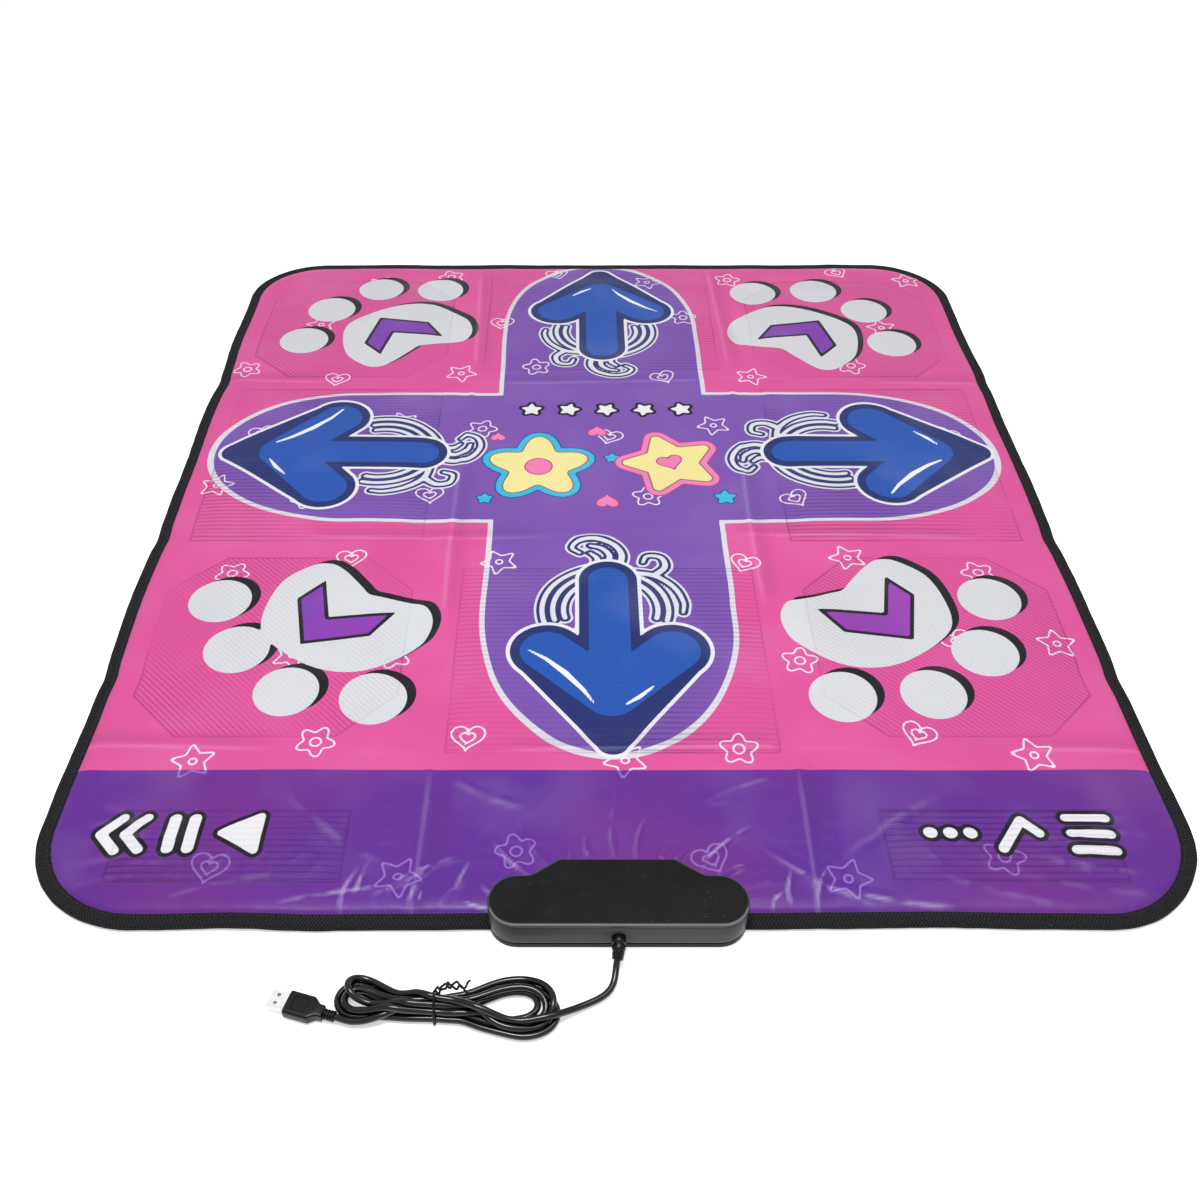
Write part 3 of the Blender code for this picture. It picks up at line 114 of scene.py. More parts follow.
def newMaterial(name, colour, roughness, metallic=0.0, **sockets):
    # Back come the material, its two functions for adding a node and setting the shader, and the object's coordinates
    made = bpy.data.materials.new(name)
    made.use_nodes = True
    add, shade = [partial(f, made.node_tree, *more) for f, more in
                  ((addNode, ()), (setInputs, (made.node_tree.nodes["Principled BSDF"],)))]
    shade(Base_Color=colour, Roughness=roughness, Metallic=metallic, **sockets)
    return made, add, shade, add("TexCoord").outputs["Object"]


# Objects and outlines
def newObject(name, data):
    made = bpy.data.objects.new(name, data)
    bpy.context.scene.collection.objects.link(made)
    return made


def addObject(name, mesh, finish=None, nodes=(), slot=None, soft=True, sharp=None):
    made = newObject(name, mesh)
    if finish:
        mesh.materials.clear()
        mesh.materials.append(finish)
    if soft:
        mesh.shade_smooth()
    if sharp:
        mesh.set_sharp_from_angle(angle=radians(sharp))
    if slot:
        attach(made, "mat")
    if nodes:
        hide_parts(*nodes)
    return made


def meshFrom(name, vertices, faces):
    mesh = bpy.data.meshes.new(name)
    mesh.from_pydata([tuple(v) for v in vertices], [], faces)
    mesh.update()
    return mesh


def meshFromBmesh(name, bm):
    bmesh.ops.recalc_face_normals(bm, faces=bm.faces)
    mesh = bpy.data.meshes.new(name)
    bm.to_mesh(mesh)
    bm.free()
    return mesh


def bakedMesh(name, source, *helpers):
    mesh = bpy.data.meshes.new_from_object(source.evaluated_get(bpy.context.evaluated_depsgraph_get()))
    mesh.name = name
    for old in (source, *helpers):
        bpy.data.objects.remove(old, do_unlink=True)
    return mesh


def gridFaces(wide, deep, turned=False):
    column, row = np.meshgrid(np.arange(wide - 1), np.arange(deep - 1))
    first = (row * wide + column).ravel()
    corners = np.stack([first, first + 1, first + wide + 1, first + wide], 1)
    return corners[:, [0, 3, 2, 1]] if turned else corners


def skinRings(name, rings):
    bm = bmesh.new()
    rows = [[bm.verts.new(point) for point in ring] for ring in rings]
    for one, two in zip(rows, rows[1:]):
        for k in range(len(one)):
            after = (k + 1) % len(one)
            bm.faces.new((one[k], one[after], two[after], two[k]))
    bm.faces.new(rows[0])
    bm.faces.new(rows[-1])
    return meshFromBmesh(name, bm)


def roundedOutline(corners, steps=10):
    points = []
    count = len(corners)
    for index, (x, y, radius) in enumerate(corners):
        here = Vector((x, y))
        before = (Vector(corners[index - 1][:2]) - here).normalized()
        after = (Vector(corners[(index + 1) % count][:2]) - here).normalized()
        if radius <= 0:
            points.append(here)
            continue
        half = before.angle(after) / 2
        centre = here + (before + after).normalized() * radius / sin(half)
        start = here + before * radius / tan(half) - centre
        end = here + after * radius / tan(half) - centre
        sweep = start.angle_signed(end)
        for step in range(steps + 1):
            spoke = start.copy()
            spoke.rotate(Matrix.Rotation(-sweep * step / steps, 2))
            points.append(centre + spoke)
    return [point for i, point in enumerate(points) if (point - points[i - 1]).length > 1e-5]


def throughPoints(points, perLeg, closed=False):
    points = [np.asarray(p, float) for p in points]
    if closed:
        padded = [points[-1], *points, points[0], points[1]]
    else:
        padded = [2 * points[0] - points[1], *points, 2 * points[-1] - points[-2]]
    route = []
    for index in range(1, len(padded) - 2):
        before, start, end, after = padded[index - 1:index + 3]
        for step in range(perLeg):
            t = step / perLeg
            square, cube = 2 * before - 5 * start + 4 * end - after, 3 * start - before - 3 * end + after
            route.append(0.5 * (2 * start + (end - before) * t + square * t**2 + cube * t**3))
    if not closed:
        route.append(points[-1])
    return np.array(route)


def evenly(route, spacing):
    along = np.concatenate([[0], np.cumsum(np.linalg.norm(np.diff(route, axis=0), axis=1))])
    at = np.linspace(0, along[-1], max(2, round(along[-1] / spacing) + 1))
    return np.stack([np.interp(at, along, route[:, axis]) for axis in range(route.shape[1])], 1)


def smooth(value):
    value = np.clip(value, 0, 1)
    return value * value * (3 - 2 * value)


def bell(value, middle, width):
    return np.exp(-(((value - middle) / width) ** 2))


# Camera and light, fitted to the mat's four edges in the photograph
def seenRays(add):
    rays = add("LightPath")
    seen = rays.outputs["Is Camera Ray"]
    for ray in ("Is Glossy Ray", "Is Transmission Ray"):
        seen = add("MAXIMUM", seen, rays.outputs[ray]).outputs[0]
    return seen


def makeStage():
    data = bpy.data.cameras.new("camera")
    data.sensor_width, data.lens, data.shift_x, data.clip_start = 36, studio["lens"], studio["shift"], 0.05
    camera = newObject("camera", data)
    camera.location = studio["eye"]
    camera.rotation_euler = (radians(90 - studio["down"]), 0, 0)
    bpy.context.scene.camera = camera
    bpy.context.scene.view_settings.view_transform = "Standard"

    world = bpy.data.worlds.new("studio")
    bpy.context.scene.world = world
    world.use_nodes = True
    add = partial(addNode, world.node_tree)
    power = add("MapRange", seenRays(add), 0.0, 1.0, studio["sky"], studio["skySeen"])
    setInputs(world.node_tree, world.node_tree.nodes["Background"], (1, 1, 1, 1), power)
    for name, spot, aim, size, power in studio["lamps"]:
        data = bpy.data.lights.new(name, "AREA")
        data.shape = "RECTANGLE"
        data.size, data.size_y = size
        data.energy = power
        lamp = newObject(name, data)
        lamp.location = spot
        lamp.rotation_euler = (Vector(aim) - Vector(spot)).to_track_quat("-Z", "Y").to_euler()

    # White to the eye and in reflections, and plain pale card to the light
    finish, add, shade, _ = newMaterial("paleCard", "#fdfdfd", 0.6, Emission_Color=(1, 1, 1, 1))
    shade(Emission_Strength=add("MULTIPLY", seenRays(add), studio["floorGlow"]))
    reach, low = studio["floorReach"], -0.0006
    corners = [(-reach, -reach, low), (reach, -reach, low), (reach, reach, low), (-reach, reach, low)]
    addObject("floor", meshFrom("floor", corners, [(0, 1, 2, 3)]), finish)


studio = dict(lens=36.9, shift=0.0217, eye=(-0.0290, -0.9057, 0.708), down=42.4, sky=0.32, skySeen=0.74, floorGlow=0.5,
              floorReach=40, lamps=[("key", (-0.15, -0.42, 1.75), (-0.02, -0.1, 0), (0.55, 0.4), 14.5),
                                    ("fill", (0.15, -0.2, 2.2), (0, 0.1, 0), (1.7, 0.9), 21.5)])

# Cord: the lead, the wound hank and the tail in one run, settled on the floor and on itself. Places in mm
cordSize = dict(diameter=4.5, spacing=3.0, floorGap=0.25, room=1.02, bend=6.5, exitHeight=12.0, waist=22.0,
                gather=0.015)
settling = dict(rounds=420, push=0.3, slack=0.02, stiff=0.36, home=0.03, sink=0.12)
relief = dict(length=14.5, collar=2.6, droop=3.9, drift=1.3)
strands = [
    # Lead over the near strands to the waist
    (-2.5, -486.6, 5.5), (-2.9, -492.8, 3.4), (-6.3, -500.2, 3), (-17.5, -506.1, 3.9), (-30.4, -512.4, 7.6),
    (-41.2, -517.5, 11.7), (-59.2, -521.8, 11.7), (-73.5, -522.6, 11.7), (-88.2, -518.1, 11.7), (-99.5, -512.2, 10.3),
    (-112.5, -506.1, 8.5),
    # Top loop, left end then right end
    (-133.4, -502.9, 8.5), (-148.5, -498.9, 8.9), (-160.2, -494, 8.9), (-167, -492.3, 8.5), (-172.3, -496.1, 8),
    (-170.6, -503.1, 8), (-162.2, -508.5, 8), (-147.1, -511.9, 8), (-130.6, -513.1, 8), (-114.1, -513.9, 8),
    (-95.8, -516.9, 7.1), (-79.1, -522.8, 7.1), (-62.8, -525.1, 7.1), (-48.4, -523.4, 7.6), (-40.7, -515.7, 8.5),
    (-41.4, -505.5, 8), (-48.9, -496.8, 7.1), (-60.2, -492.5, 5.7), (-78.9, -491.7, 4.3), (-97.4, -495.9, 3.4),
    (-113.3, -502.2, 3),
    # Bottom loop
    (-133.9, -502.6, 3), (-153, -497.8, 2.5), (-168.1, -496.2, 2.5), (-175.8, -499.5, 2.5), (-176.5, -505.6, 2.5),
    (-169.7, -512, 2.5), (-150.9, -515.5, 2.5), (-130.7, -516.7, 2.5), (-114.2, -518.3, 2.5), (-95.8, -521.4, 2.5),
    (-77.4, -526.5, 2.5), (-62.8, -528.4, 2.5), (-49.3, -526.5, 2.5), (-41.3, -520.3, 2.5), (-39.6, -511.6, 3),
    (-46.1, -501.6, 3), (-55.5, -495.6, 2.5), (-69.6, -494.2, 2.5), (-93.4, -499.9, 2.5), (-113, -506, 2.5),
    # Third loop
    (-133.6, -506.8, 2.5), (-152.4, -503.5, 2.5), (-163.5, -500.2, 4), (-171.8, -501.4, 6), (-173, -510.6, 6),
    (-163.5, -513.4, 4.5), (-147.5, -513, 3), (-131, -513.8, 3), (-114.5, -514.4, 2.5), (-96, -517.5, 2.5),
    (-79.4, -522.6, 2.5), (-64.8, -524.2, 2.5), (-53.1, -521.8, 2.5), (-46.5, -515.3, 2.5), (-46, -508.8, 2.5),
    (-50.7, -502.9, 3.4), (-60, -499.2, 6.2), (-72.9, -499.7, 7.1), (-92.9, -504, 7.6), (-112.3, -509.1, 8),
    # Fourth loop, and the tail
    (-133, -507.2, 7.6), (-151.9, -502.8, 7.6), (-166.9, -500.8, 7.6), (-173, -504.4, 7.6), (-171.9, -510, 7.6),
    (-163.3, -514, 7.6), (-146.8, -515.7, 7.1), (-130.3, -516.9, 7.1), (-113.9, -517.7, 7.1), (-95.7, -519.2, 6.2),
    (-81.2, -519.8, 3.9), (-66.8, -518.7, 2.5), (-55.1, -514.4, 2.5), (-50.6, -507.4, 2.5), (-54.5, -501.1, 2.5),
    (-63.8, -498.7, 2.5), (-74.9, -499.5, 2.5), (-93.2, -504.4, 2.5), (-112.7, -510, 2.5), (-129.3, -511.6, 3.9),
    (-141.3, -515.7, 7.1), (-153, -518.3, 5.3), (-164.3, -518.3, 2.5)]
plug = dict(angle=radians(163.6), entry=(-176.8, -517.5, 4.0), width=16.0, thickness=8.0, relief=8.0, neck=3.5,
            shoulder=4.5, body=16.5, neckWidth=8.6, panel=9.8, panelAt=7.7, panelDepth=0.8)
tie = dict(x=-115.0, y=-511.5, wire=0.78, clear=0.5, twist=2.6, reach=20.5, open=1.6)


def reliefPoint(out):
    share = max(out - relief["collar"], 0.0) / (relief["length"] - relief["collar"])
    return Vector((-relief["drift"] * share**2, boxFront / mm - out,
                   cordSize["exitHeight"] - relief["droop"] * share**2))


def onPlug(x, y=0.0, z=0.0):
    return Vector(plug["entry"]) + Matrix.Rotation(plug["angle"], 3, "Z") @ Vector((x, y, z))


def settledRoute():
    tip = reliefPoint(relief["length"])
    leaving = (tip - reliefPoint(relief["length"] - 1)).normalized()
    points = [tip - leaving * 6, tip + leaving * 0.3, *strands, onPlug(-2.5), onPlug(4)]
    route = evenly(throughPoints(points, 6), cordSize["spacing"])
    goal, count, order = route.copy(), len(route), np.arange(len(route))
    steps = np.abs(order[:, None] - order[None, :])
    low = cordSize["diameter"] / 2 + cordSize["floorGap"]
    room = np.where(steps > 3, cordSize["diameter"] * cordSize["room"], 0.0)
    # Near points stay as far apart as on the tightest bend
    for near in range(2, 7):
        turn = min(near * cordSize["spacing"] / cordSize["bend"], pi)
        room = np.where(steps == near, np.maximum(room, 2 * cordSize["bend"] * sin(turn / 2)), room)
    for step in range(settling["rounds"]):
        share = max(0.0, 1 - step / (0.7 * settling["rounds"]))
        apart = route[:, None] - route[None, :]
        gap = np.sqrt((apart**2).sum(2))
        push = np.where(gap < room, (room - gap) / np.maximum(gap, 0.3), 0)
        route = route + settling["push"] * (apart * push[:, :, None]).sum(1)
        bend, curl = np.zeros_like(route), np.zeros_like(route)
        bend[1:-1] = (route[:-2] + route[2:]) / 2 - route[1:-1]
        curl[2:-2] = bend[2:-2] - (bend[1:-3] + bend[3:-1]) / 2
        home = settling["home"] * max(share, 0.25) * (goal - route) * np.array([1, 1, 0])
        route += settling["slack"] * bend + settling["stiff"] * curl + home
        route[:, 1] += cordSize["gather"] * bell(route[:, 0], tie["x"], cordSize["waist"]) * (tie["y"] - route[:, 1])
        route[:, 2] = np.maximum(route[:, 2] - settling["sink"] * share, low)
        route[:4], route[count - 3:] = goal[:4], goal[count - 3:]
    return throughPoints(route, 3)


def tubeCurve(name, points, radius, finish, resolution, nodes, slot):
    curve = bpy.data.curves.new(name, "CURVE")
    curve.dimensions, curve.bevel_depth, curve.bevel_resolution = "3D", radius * mm, resolution
    curve.use_fill_caps, curve.twist_mode = True, "MINIMUM"
    spline = curve.splines.new("POLY")
    spline.points.add(len(points) - 1)
    for knot, point in zip(spline.points, points):
        knot.co = (*(np.asarray(point) * mm), 1.0)
    return addObject(name, curve, finish, nodes, slot, soft=False)


def turnedSolid(name, stations, pointAt, finish, slot, nodes=(), sides=28):
    rings = []
    for out, radius in stations:
        ahead = (pointAt(out + 0.4) - pointAt(out - 0.4)).normalized()
        side = ahead.cross(Vector((0, 0, 1))).normalized()
        up = side.cross(ahead)
        turns = [tau * k / sides for k in range(sides)]
        rings.append([(pointAt(out) + radius * (side * cos(a) + up * sin(a))) * mm for a in turns])
    return addObject(name, skinRings(name, rings), finish, nodes, slot, sharp=60)


def makeRelief(finish):
    stations = [(-4, 5), (-2.2, 5.2), (-1.8, 3.9), (0.2, 3.9), (0.3, 4.4), (0.6, 4.7), (4.7, 4.7), (5.1, 4.4),
                (5.3, 3.9), (5.9, 3.85), (6.1, 4.4), (6.4, 4.55), (8.9, 4.4), (9.3, 4.25), (9.5, 3.8), (10.0, 3.75),
                (10.2, 4.1), (13.7, 3.7), (14.3, 3.45), (14.5, 2.4)]
    return turnedSolid("relief_boot", stations, reliefPoint, finish, "black_pvc", ("strain_relief",))


def makePlug(finish):
    neck = plug["relief"] + plug["neck"]
    front, start = neck + plug["shoulder"] + plug["body"], plug["relief"] - 0.4
    rings = []
    ends = [front - 0.5, front - 0.15, front]
    for x in [start, start + 0.2, start + 0.6, *np.linspace(start + 1.2, front - 1, 34), *ends]:
        shrink = 0.7 * max(0.0, 1 - (x - start) / 0.6) ** 2 + 0.5 * max(0.0, 1 - (front - x) / 0.6) ** 2
        narrow, wide = plug["neckWidth"] / 2, plug["width"] / 2
        a = narrow + (wide - narrow) * float(smooth((x - neck + 0.8) / (plug["shoulder"] + 1.6))) - shrink
        b = plug["thickness"] / 2 - shrink - 0.35 * (1 - float(smooth((x - start) / 6)))
        turns = np.arange(48) * tau / 48
        c, s = np.cos(turns), np.sin(turns)
        rings.append([onPlug(x, a * copysign(abs(i) ** 0.32, i), b * copysign(abs(j) ** 0.32, j)) * mm
                      for i, j in zip(c, s)])
    grip = newObject("plug_grip", skinRings("plug_grip", rings))
    # A sunk square on each face, and the hollow that the shell's root sits in
    half, helpers = plug["panel"] / 2, []
    panel = roundedOutline([(-half, -half, 1.3), (half, -half, 1.3), (half, half, 1.3), (-half, half, 1.3)], 5)
    for side in (-1, 1):
        face = side * plug["thickness"] / 2
        levels = ((1.09, face + side), (1.03, face + 0.02 * side), (0.88, face - side * plug["panelDepth"]))
        rings = [[onPlug(neck + plug["shoulder"] + plug["panelAt"] + p.x * s, p.y * s, z) * mm for p in panel]
                 for s, z in levels]
        helpers.append(skinRings(f"panelCut{side}", rings))
    square = [(-6.3, -2.55), (6.3, -2.55), (6.3, 2.55), (-6.3, 2.55)]
    rings = [[onPlug(x, y, z) * mm for y, z in square] for x in (front - 5.6, front + 5.6)]
    helpers.append(skinRings("socketCut", rings))
    for index, mesh in enumerate(helpers):
        helpers[index] = newObject(mesh.name, mesh)
        modifier = grip.modifiers.new(mesh.name, "BOOLEAN")
        modifier.operation, modifier.object, modifier.solver = "DIFFERENCE", helpers[index], "EXACT"
    mesh = bakedMesh("plug_grip", grip, *helpers)
    grip = addObject("plug_grip", mesh, finish, ("plug_overmould",), "black_pvc", sharp=40)
    # Four flexible ribs behind the grip
    pitch = (plug["relief"] - 0.4) / 4
    stations = [(0, 2.5), (0.1, 2.9)]
    for rib in range(4):
        stations += [(0.2 + pitch * (rib + share), radius)
                     for share, radius in ((0, 2.6), (0.12, 3.35), (0.2, 3.5), (0.55, 3.5), (0.63, 3.35), (0.72, 2.6))]
    stations += [(plug["relief"], 2.6), (plug["relief"] + 1, 2.6)]
    return grip, turnedSolid("plug_relief", stations, onPlug, finish, "black_pvc", sides=24)


def makeTie(route, finish):
    # Once round the strands that cross the waist, then both ends twisted together
    x, wire = tie["x"], tie["wire"]
    cross = []
    for a, b in zip(route, route[1:]):
        if (a[0] - x) * (b[0] - x) <= 0 and a[0] != b[0]:
            cross.append((a + (b - a) * (x - a[0]) / (b[0] - a[0]))[1:])
    cross, loop = np.array(cross), []
    clear = cordSize["diameter"] / 2 + wire + tie["clear"] / 2
    for angle in np.radians(np.arange(60, 421, 6)):
        way = np.array([cos(angle), sin(angle)])
        y, z = cross[np.argmax(cross @ way)] + clear * way
        loop.append((x - wire + 2 * wire * (len(loop) / 60), y, max(z, wire + 0.05)))
    axis = Vector((0.95, 0.2, 0.1)).normalized()
    side = (Vector((-1, 0, 0)) - axis * -axis.x).normalized()
    up = axis.cross(side)
    root, tails = Vector(loop[0]) + Vector((2.6, 0.4, 0.9)), []
    for phase in (0, pi):
        tail = []
        for step in range(49):
            share = step / 48
            angle = phase + tau * tie["twist"] * (share + 0.03 * sin(share * 17))
            flare = 5 * max(0.0, share - 0.78) * (1.3 if phase else 0.6)
            spread = tie["open"] * (1 + 0.35 * sin(share * 21 + 1) + flare)
            bow = side * 1.8 * sin(share * 4.4) + Vector((0, 0, -2.0)) * share**2
            reach = tie["reach"] * share * (1.0 if phase else 0.9)
            tail.append(root + axis * reach + bow + (side * cos(angle) + up * sin(angle)) * spread)
        tails.append(tail)
    line = throughPoints([*reversed(tails[0]), *loop, *tails[1]], 2)
    return tubeCurve("tie_wire", line, wire, finish, 3, ("twist_tie",), "black_pvc")


def makeGlossyPvc():
    # Fresh plasticised PVC: near black, with long bright streaks that soften here and there
    finish, add, shade, coords = newMaterial("glossyPvc", "#050506", 0.14, Specular_IOR_Level=0.36, Coat_Weight=0.22,
                                             Coat_Roughness=0.08)
    rough = add("MapRange", add("TexNoise", coords, 60.0), 0.3, 0.7, 0.12, 0.22)
    shade(Roughness=rough)
    return finish


# Printed cover: distances in mm to the outlines of the print, worked out on the cover's own grid
def polygonDistance(p, polygon):
    polygon = np.asarray(polygon, float)
    nearest, sign = np.full(len(p), 1e12), np.ones(len(p))
    for a, b in zip(polygon, np.roll(polygon, -1, axis=0)):
        edge, away = b - a, p - a
        along = np.clip(away @ edge / (edge @ edge), 0, 1)
        nearest = np.minimum(nearest, ((away - along[:, None] * edge) ** 2).sum(1))
        up, down = p[:, 1] >= a[1], p[:, 1] < b[1]
        left = edge[0] * away[:, 1] > edge[1] * away[:, 0]
        sign = np.where((up & down & left) | (~up & ~down & ~left), -sign, sign)
    return sign * np.sqrt(nearest)


def strokeDistance(p, a, b, startRadius, endRadius=None):
    a, b = np.asarray(a, float), np.asarray(b, float)
    endRadius = startRadius if endRadius is None else endRadius
    away, edge = p - a, b - a
    along = np.clip(away @ edge / max(edge @ edge, 1e-9), 0, 1)
    return np.sqrt(((away - along[:, None] * edge) ** 2).sum(1)) - (startRadius + (endRadius - startRadius) * along)


def pathDistance(p, points, radii):
    return np.minimum.reduce([strokeDistance(p, *ends) for ends in zip(points, points[1:], radii, radii[1:])])


def circleDistance(p, centre, radius):
    return np.hypot(p[:, 0] - centre[0], p[:, 1] - centre[1]) - radius


def arcDistance(p, centre, radius, low, high, half):
    x, y = p[:, 0] - centre[0], p[:, 1] - centre[1]
    held = np.radians(np.clip(np.degrees(np.arctan2(y, x)), low, high))
    return np.hypot(x - radius * np.cos(held), y - radius * np.sin(held)) - half


def around(radii, angles):
    return np.stack([radii * np.cos(angles), radii * np.sin(angles)], 1)


def starShape(radius, inner, points=5):
    steps = np.arange(points * 2)
    return around(np.where(steps % 2 == 0, radius, inner), steps * pi / points + pi / 2)


def heartShape(size):
    t = np.arange(40) * tau / 40
    y = 13 * np.cos(t) - 5 * np.cos(2 * t) - 2 * np.cos(3 * t) - np.cos(4 * t)
    return np.stack([16 * np.sin(t) ** 3, y + 2], 1) * size / 16


def flowerShape(radius, petals=5, depth=0.2):
    angles = np.arange(60) * tau / 60
    return around(radius * (1 + depth * np.cos(petals * angles)), angles + pi / 2)


def joinShape(values, p, name, centre, reach, distance, angle=0.0):
    # Only the points within reach are worked out, in the shape's own turned axes
    held = values.setdefault(name, np.full(len(p), 60.0))
    local = p - np.asarray(centre, float)
    near = np.flatnonzero((local**2).sum(1) < reach * reach)
    if len(near):
        c, s = cos(angle), sin(angle)
        x, y = local[near].T
        held[near] = np.minimum(held[near], distance(np.stack([x * c + y * s, y * c - x * s], 1)))


# Centre, turn, length and wing span of each arrow; middle, outward way and toes of each paw
arrows = [((-258.9, 528.0), pi / 2, 0.995, 1.12), ((262.8, 529.0), -pi / 2, 1.0, 1.03), ((0.2, 258.7), pi, 1.0, 1.0),
          ((1.7, 795.3), 0.0, 0.91, 0.97)]
paws = [((-215.0, 753.4), (-1, 1), [(-324.8, 736.2), (-304.5, 803.6), (-253.3, 851.8), (-184.5, 851.4)]),
        ((214.0, 747.7), (1, 1), [(178.5, 844.1), (249.2, 847.9), (299.8, 800.1), (318.0, 729.5)]),
        ((-219.0, 293.0), (-1, -1), [(-326.7, 313.0), (-301.7, 254.8), (-253.5, 208.3), (-184.9, 201.7)]),
        ((216.0, 298.7), (1, -1), [(321.4, 315.7), (302.3, 251.1), (250.9, 206.1), (180.1, 204.1)])]
pad = [(-16, 64), (-42, 69), (-80, 74), (-105, 77), (-118, 73), (-127, 61), (-138, 47), (-150, 38.5), (-165, 33),
       (180, 36), (165, 44), (155, 55), (148, 67), (135, 72.5), (120, 73.5), (104, 71), (67, 67), (31, 61.5)]
# Ribbons behind each shaft: arcs by radius and side, and curls along their middles
ribbons = dict(arcs=[(38, 1), (47, 1), (56, 1), (41, -1), (50, -1)],
               curls=[[(-9, -98), (-13, -116), (-6, -131), (10, -139), (25, -136), (31, -126), (24, -119)],
                      [(0, -102), (-2, -116), (5, -126), (15, -129)], [(9, -102), (9, -112), (15, -119)],
                      [(-22, -92), (-40, -88), (-56, -72), (-63, -53), (-62, -40)],
                      [(-40, -88), (-50, -100), (-47, -113), (-35, -115), (-31, -106)]])
chevron = [(32, 32.4), (-23.3, 22.8), (-41.5, -6.5), (13.5, 0), (22.8, -46.5), (43.5, -22.5)]


def drawArrow(values, p, centre, angle, long, span):
    def blue(p):
        p = p / np.array([1, long])
        parts = [strokeDistance(p, (0, -82.3), (0, 54), 17)]
        parts += [strokeDistance(p, (0, 54), (side * 51 * span, 5), 22) for side in (-1, 1)]
        return np.minimum.reduce(parts)

    def navy(p):
        scaled = p / np.array([1, long])
        sides = [strokeDistance(scaled, (side * 51 * span, 5), (0, 100.2), 29.6, 13) for side in (-1, 1)]
        return np.minimum.reduce([blue(p) - 8, *sides])

    def shine(p):
        p = p / np.array([span, long])
        return np.minimum(pathDistance(p, [(66, 4), (52, 14), (36, 30), (22, 48), (14, 62)], [0.9, 1.7, 2.6, 1.8, 0.9]),
                          pathDistance(p, [(-11, 64), (-22, 56), (-33, 45)], [0.9, 1.9, 0.9]))

    def ripples(p):
        p = p / np.array([1, long])
        parts = [arcDistance(p * np.array([flip, 1]), (0, -44), radius, -80, 16, 2.1)
                 for radius, flip in ribbons["arcs"]]
        for curl in ribbons["curls"]:
            curl = throughPoints(curl, 4)
            parts.append(pathDistance(p, curl, np.linspace(2.9, 1.4, len(curl))))
        return np.minimum.reduce(parts)

    for name, shape in (("blue", blue), ("navy", navy), ("shine", shine), ("ripple", ripples)):
        joinShape(values, p, name, centre, 170, shape, angle)


def drawPaw(values, p, centre, outward, toes, name="paw"):
    ahead, hand = atan2(outward[1], outward[0]), outward[0] * outward[1]
    angles = [ahead + hand * radians(a) for a, _ in pad]
    outline = throughPoints([(r * cos(a), r * sin(a)) for a, (_, r) in zip(angles, pad)], 5, closed=True)
    joinShape(values, p, name, centre, 110, lambda q: polygonDistance(q, outline[::-hand]))
    for index, toe in enumerate(toes):
        joinShape(values, p, name, toe, 60, lambda q: circleDistance(q, (0, 0), 26.2 + 0.6 * sin(index * 2.1)))
    if name == "paw":
        shape = (np.array(chevron) * np.array(outward))[::hand]
        joinShape(values, p, "chevron", centre, 90, lambda q: polygonDistance(q, shape))


def drawMotifs(values, p):
    flower, star, heart = flowerShape(12, 5, 0.24), starShape(15.5, 7.6), heartShape(13)
    kinds = [lambda q: np.maximum(polygonDistance(q, flower), -circleDistance(q, (0, 0), 4.2)),
             lambda q: np.maximum(polygonDistance(q, star) - 1, -circleDistance(q, (0, 0), 3.0)),
             lambda q: np.maximum(polygonDistance(q, heart), -polygonDistance(q, heart * 0.45))]
    for index in range(72):
        row, column = divmod(index, 8)
        u = -378 + column * 108 + (54 if row % 2 else 0) + 15 * sin(row * 2.1 + column * 3.7)
        v = 48 + row * 104 + 13 * cos(row * 3.3 + column * 1.9)
        if abs(u) < 378:
            joinShape(values, p, "motif", (u, v), 30, kinds[(row + 2 * column) % 3], 0.5 * sin((index + 1) * 1.7))


def drawCentre(values, p):
    # A flower and a star with small hearts and stars round them, and a row of five stars
    flower, star, disc = flowerShape(39, 5, 0.26), starShape(41, 21), flowerShape(12.5, 5, 0.0)
    marks = [("yellow", (-63, 506), flower, 0, 0), ("cyan", (-63, 506), flower, 7, 0),
             ("pinkPrint", (-63, 506), disc, 0, 0), ("yellow", (64, 512), star, 5, 0.3),
             ("pinkPrint", (64, 512), heartShape(12), 0, 0.3), ("pinkRim", (64, 512), star, 12, 0.3)]
    marks += [("pinkRim", place, heartShape(size), 0, pi)
              for place, size in (((-6, 566), 9), ((2, 452), 10), ((-104, 556), 7))]
    marks += [("cyan", place, starShape(size, size * 0.5), 1.5, 0)
              for place, size in (((112, 458), 9), ((8, 520), 6), ((-112, 456), 6))]
    marks += [("icon", (-72 + step * 38, 604), starShape(9.5, 4.6), 1.2, step) for step in range(5)]
    for name, place, shape, grow, angle in marks:
        joinShape(values, p, name, place, 100, lambda q: polygonDistance(q, shape) - grow, angle)


def drawIcons(values, p):
    def start(q):
        bars = [((-10, -13), (-10, 13), 4.2), ((4, -13), (4, 13), 4.2)]
        bars += [((x, side * 14), (x + 13, 0), 3.6) for x in (24, 41) for side in (-1, 1)]
        return np.minimum.reduce([polygonDistance(-q, [(-56, -15), (-56, 15), (-31, 0)]) - 3,
                                  *[strokeDistance(-q, *bar) for bar in bars]])

    def select(q):
        bars = [((-12, 0), (-2, -12), 3.6), ((-2, -12), (16, 13), 3.6)]
        bars += [((-62, y), (-34, y), 3.4) for y in (-14, 0, 14)]
        dots = [circleDistance(-q, (x, 0), 5) for x in (36, 50, 64)]
        return np.minimum.reduce([*dots, *[strokeDistance(-q, *bar) for bar in bars]])

    joinShape(values, p, "icon", (-306, 73), 100, start)
    joinShape(values, p, "icon", (284, 73), 100, select)


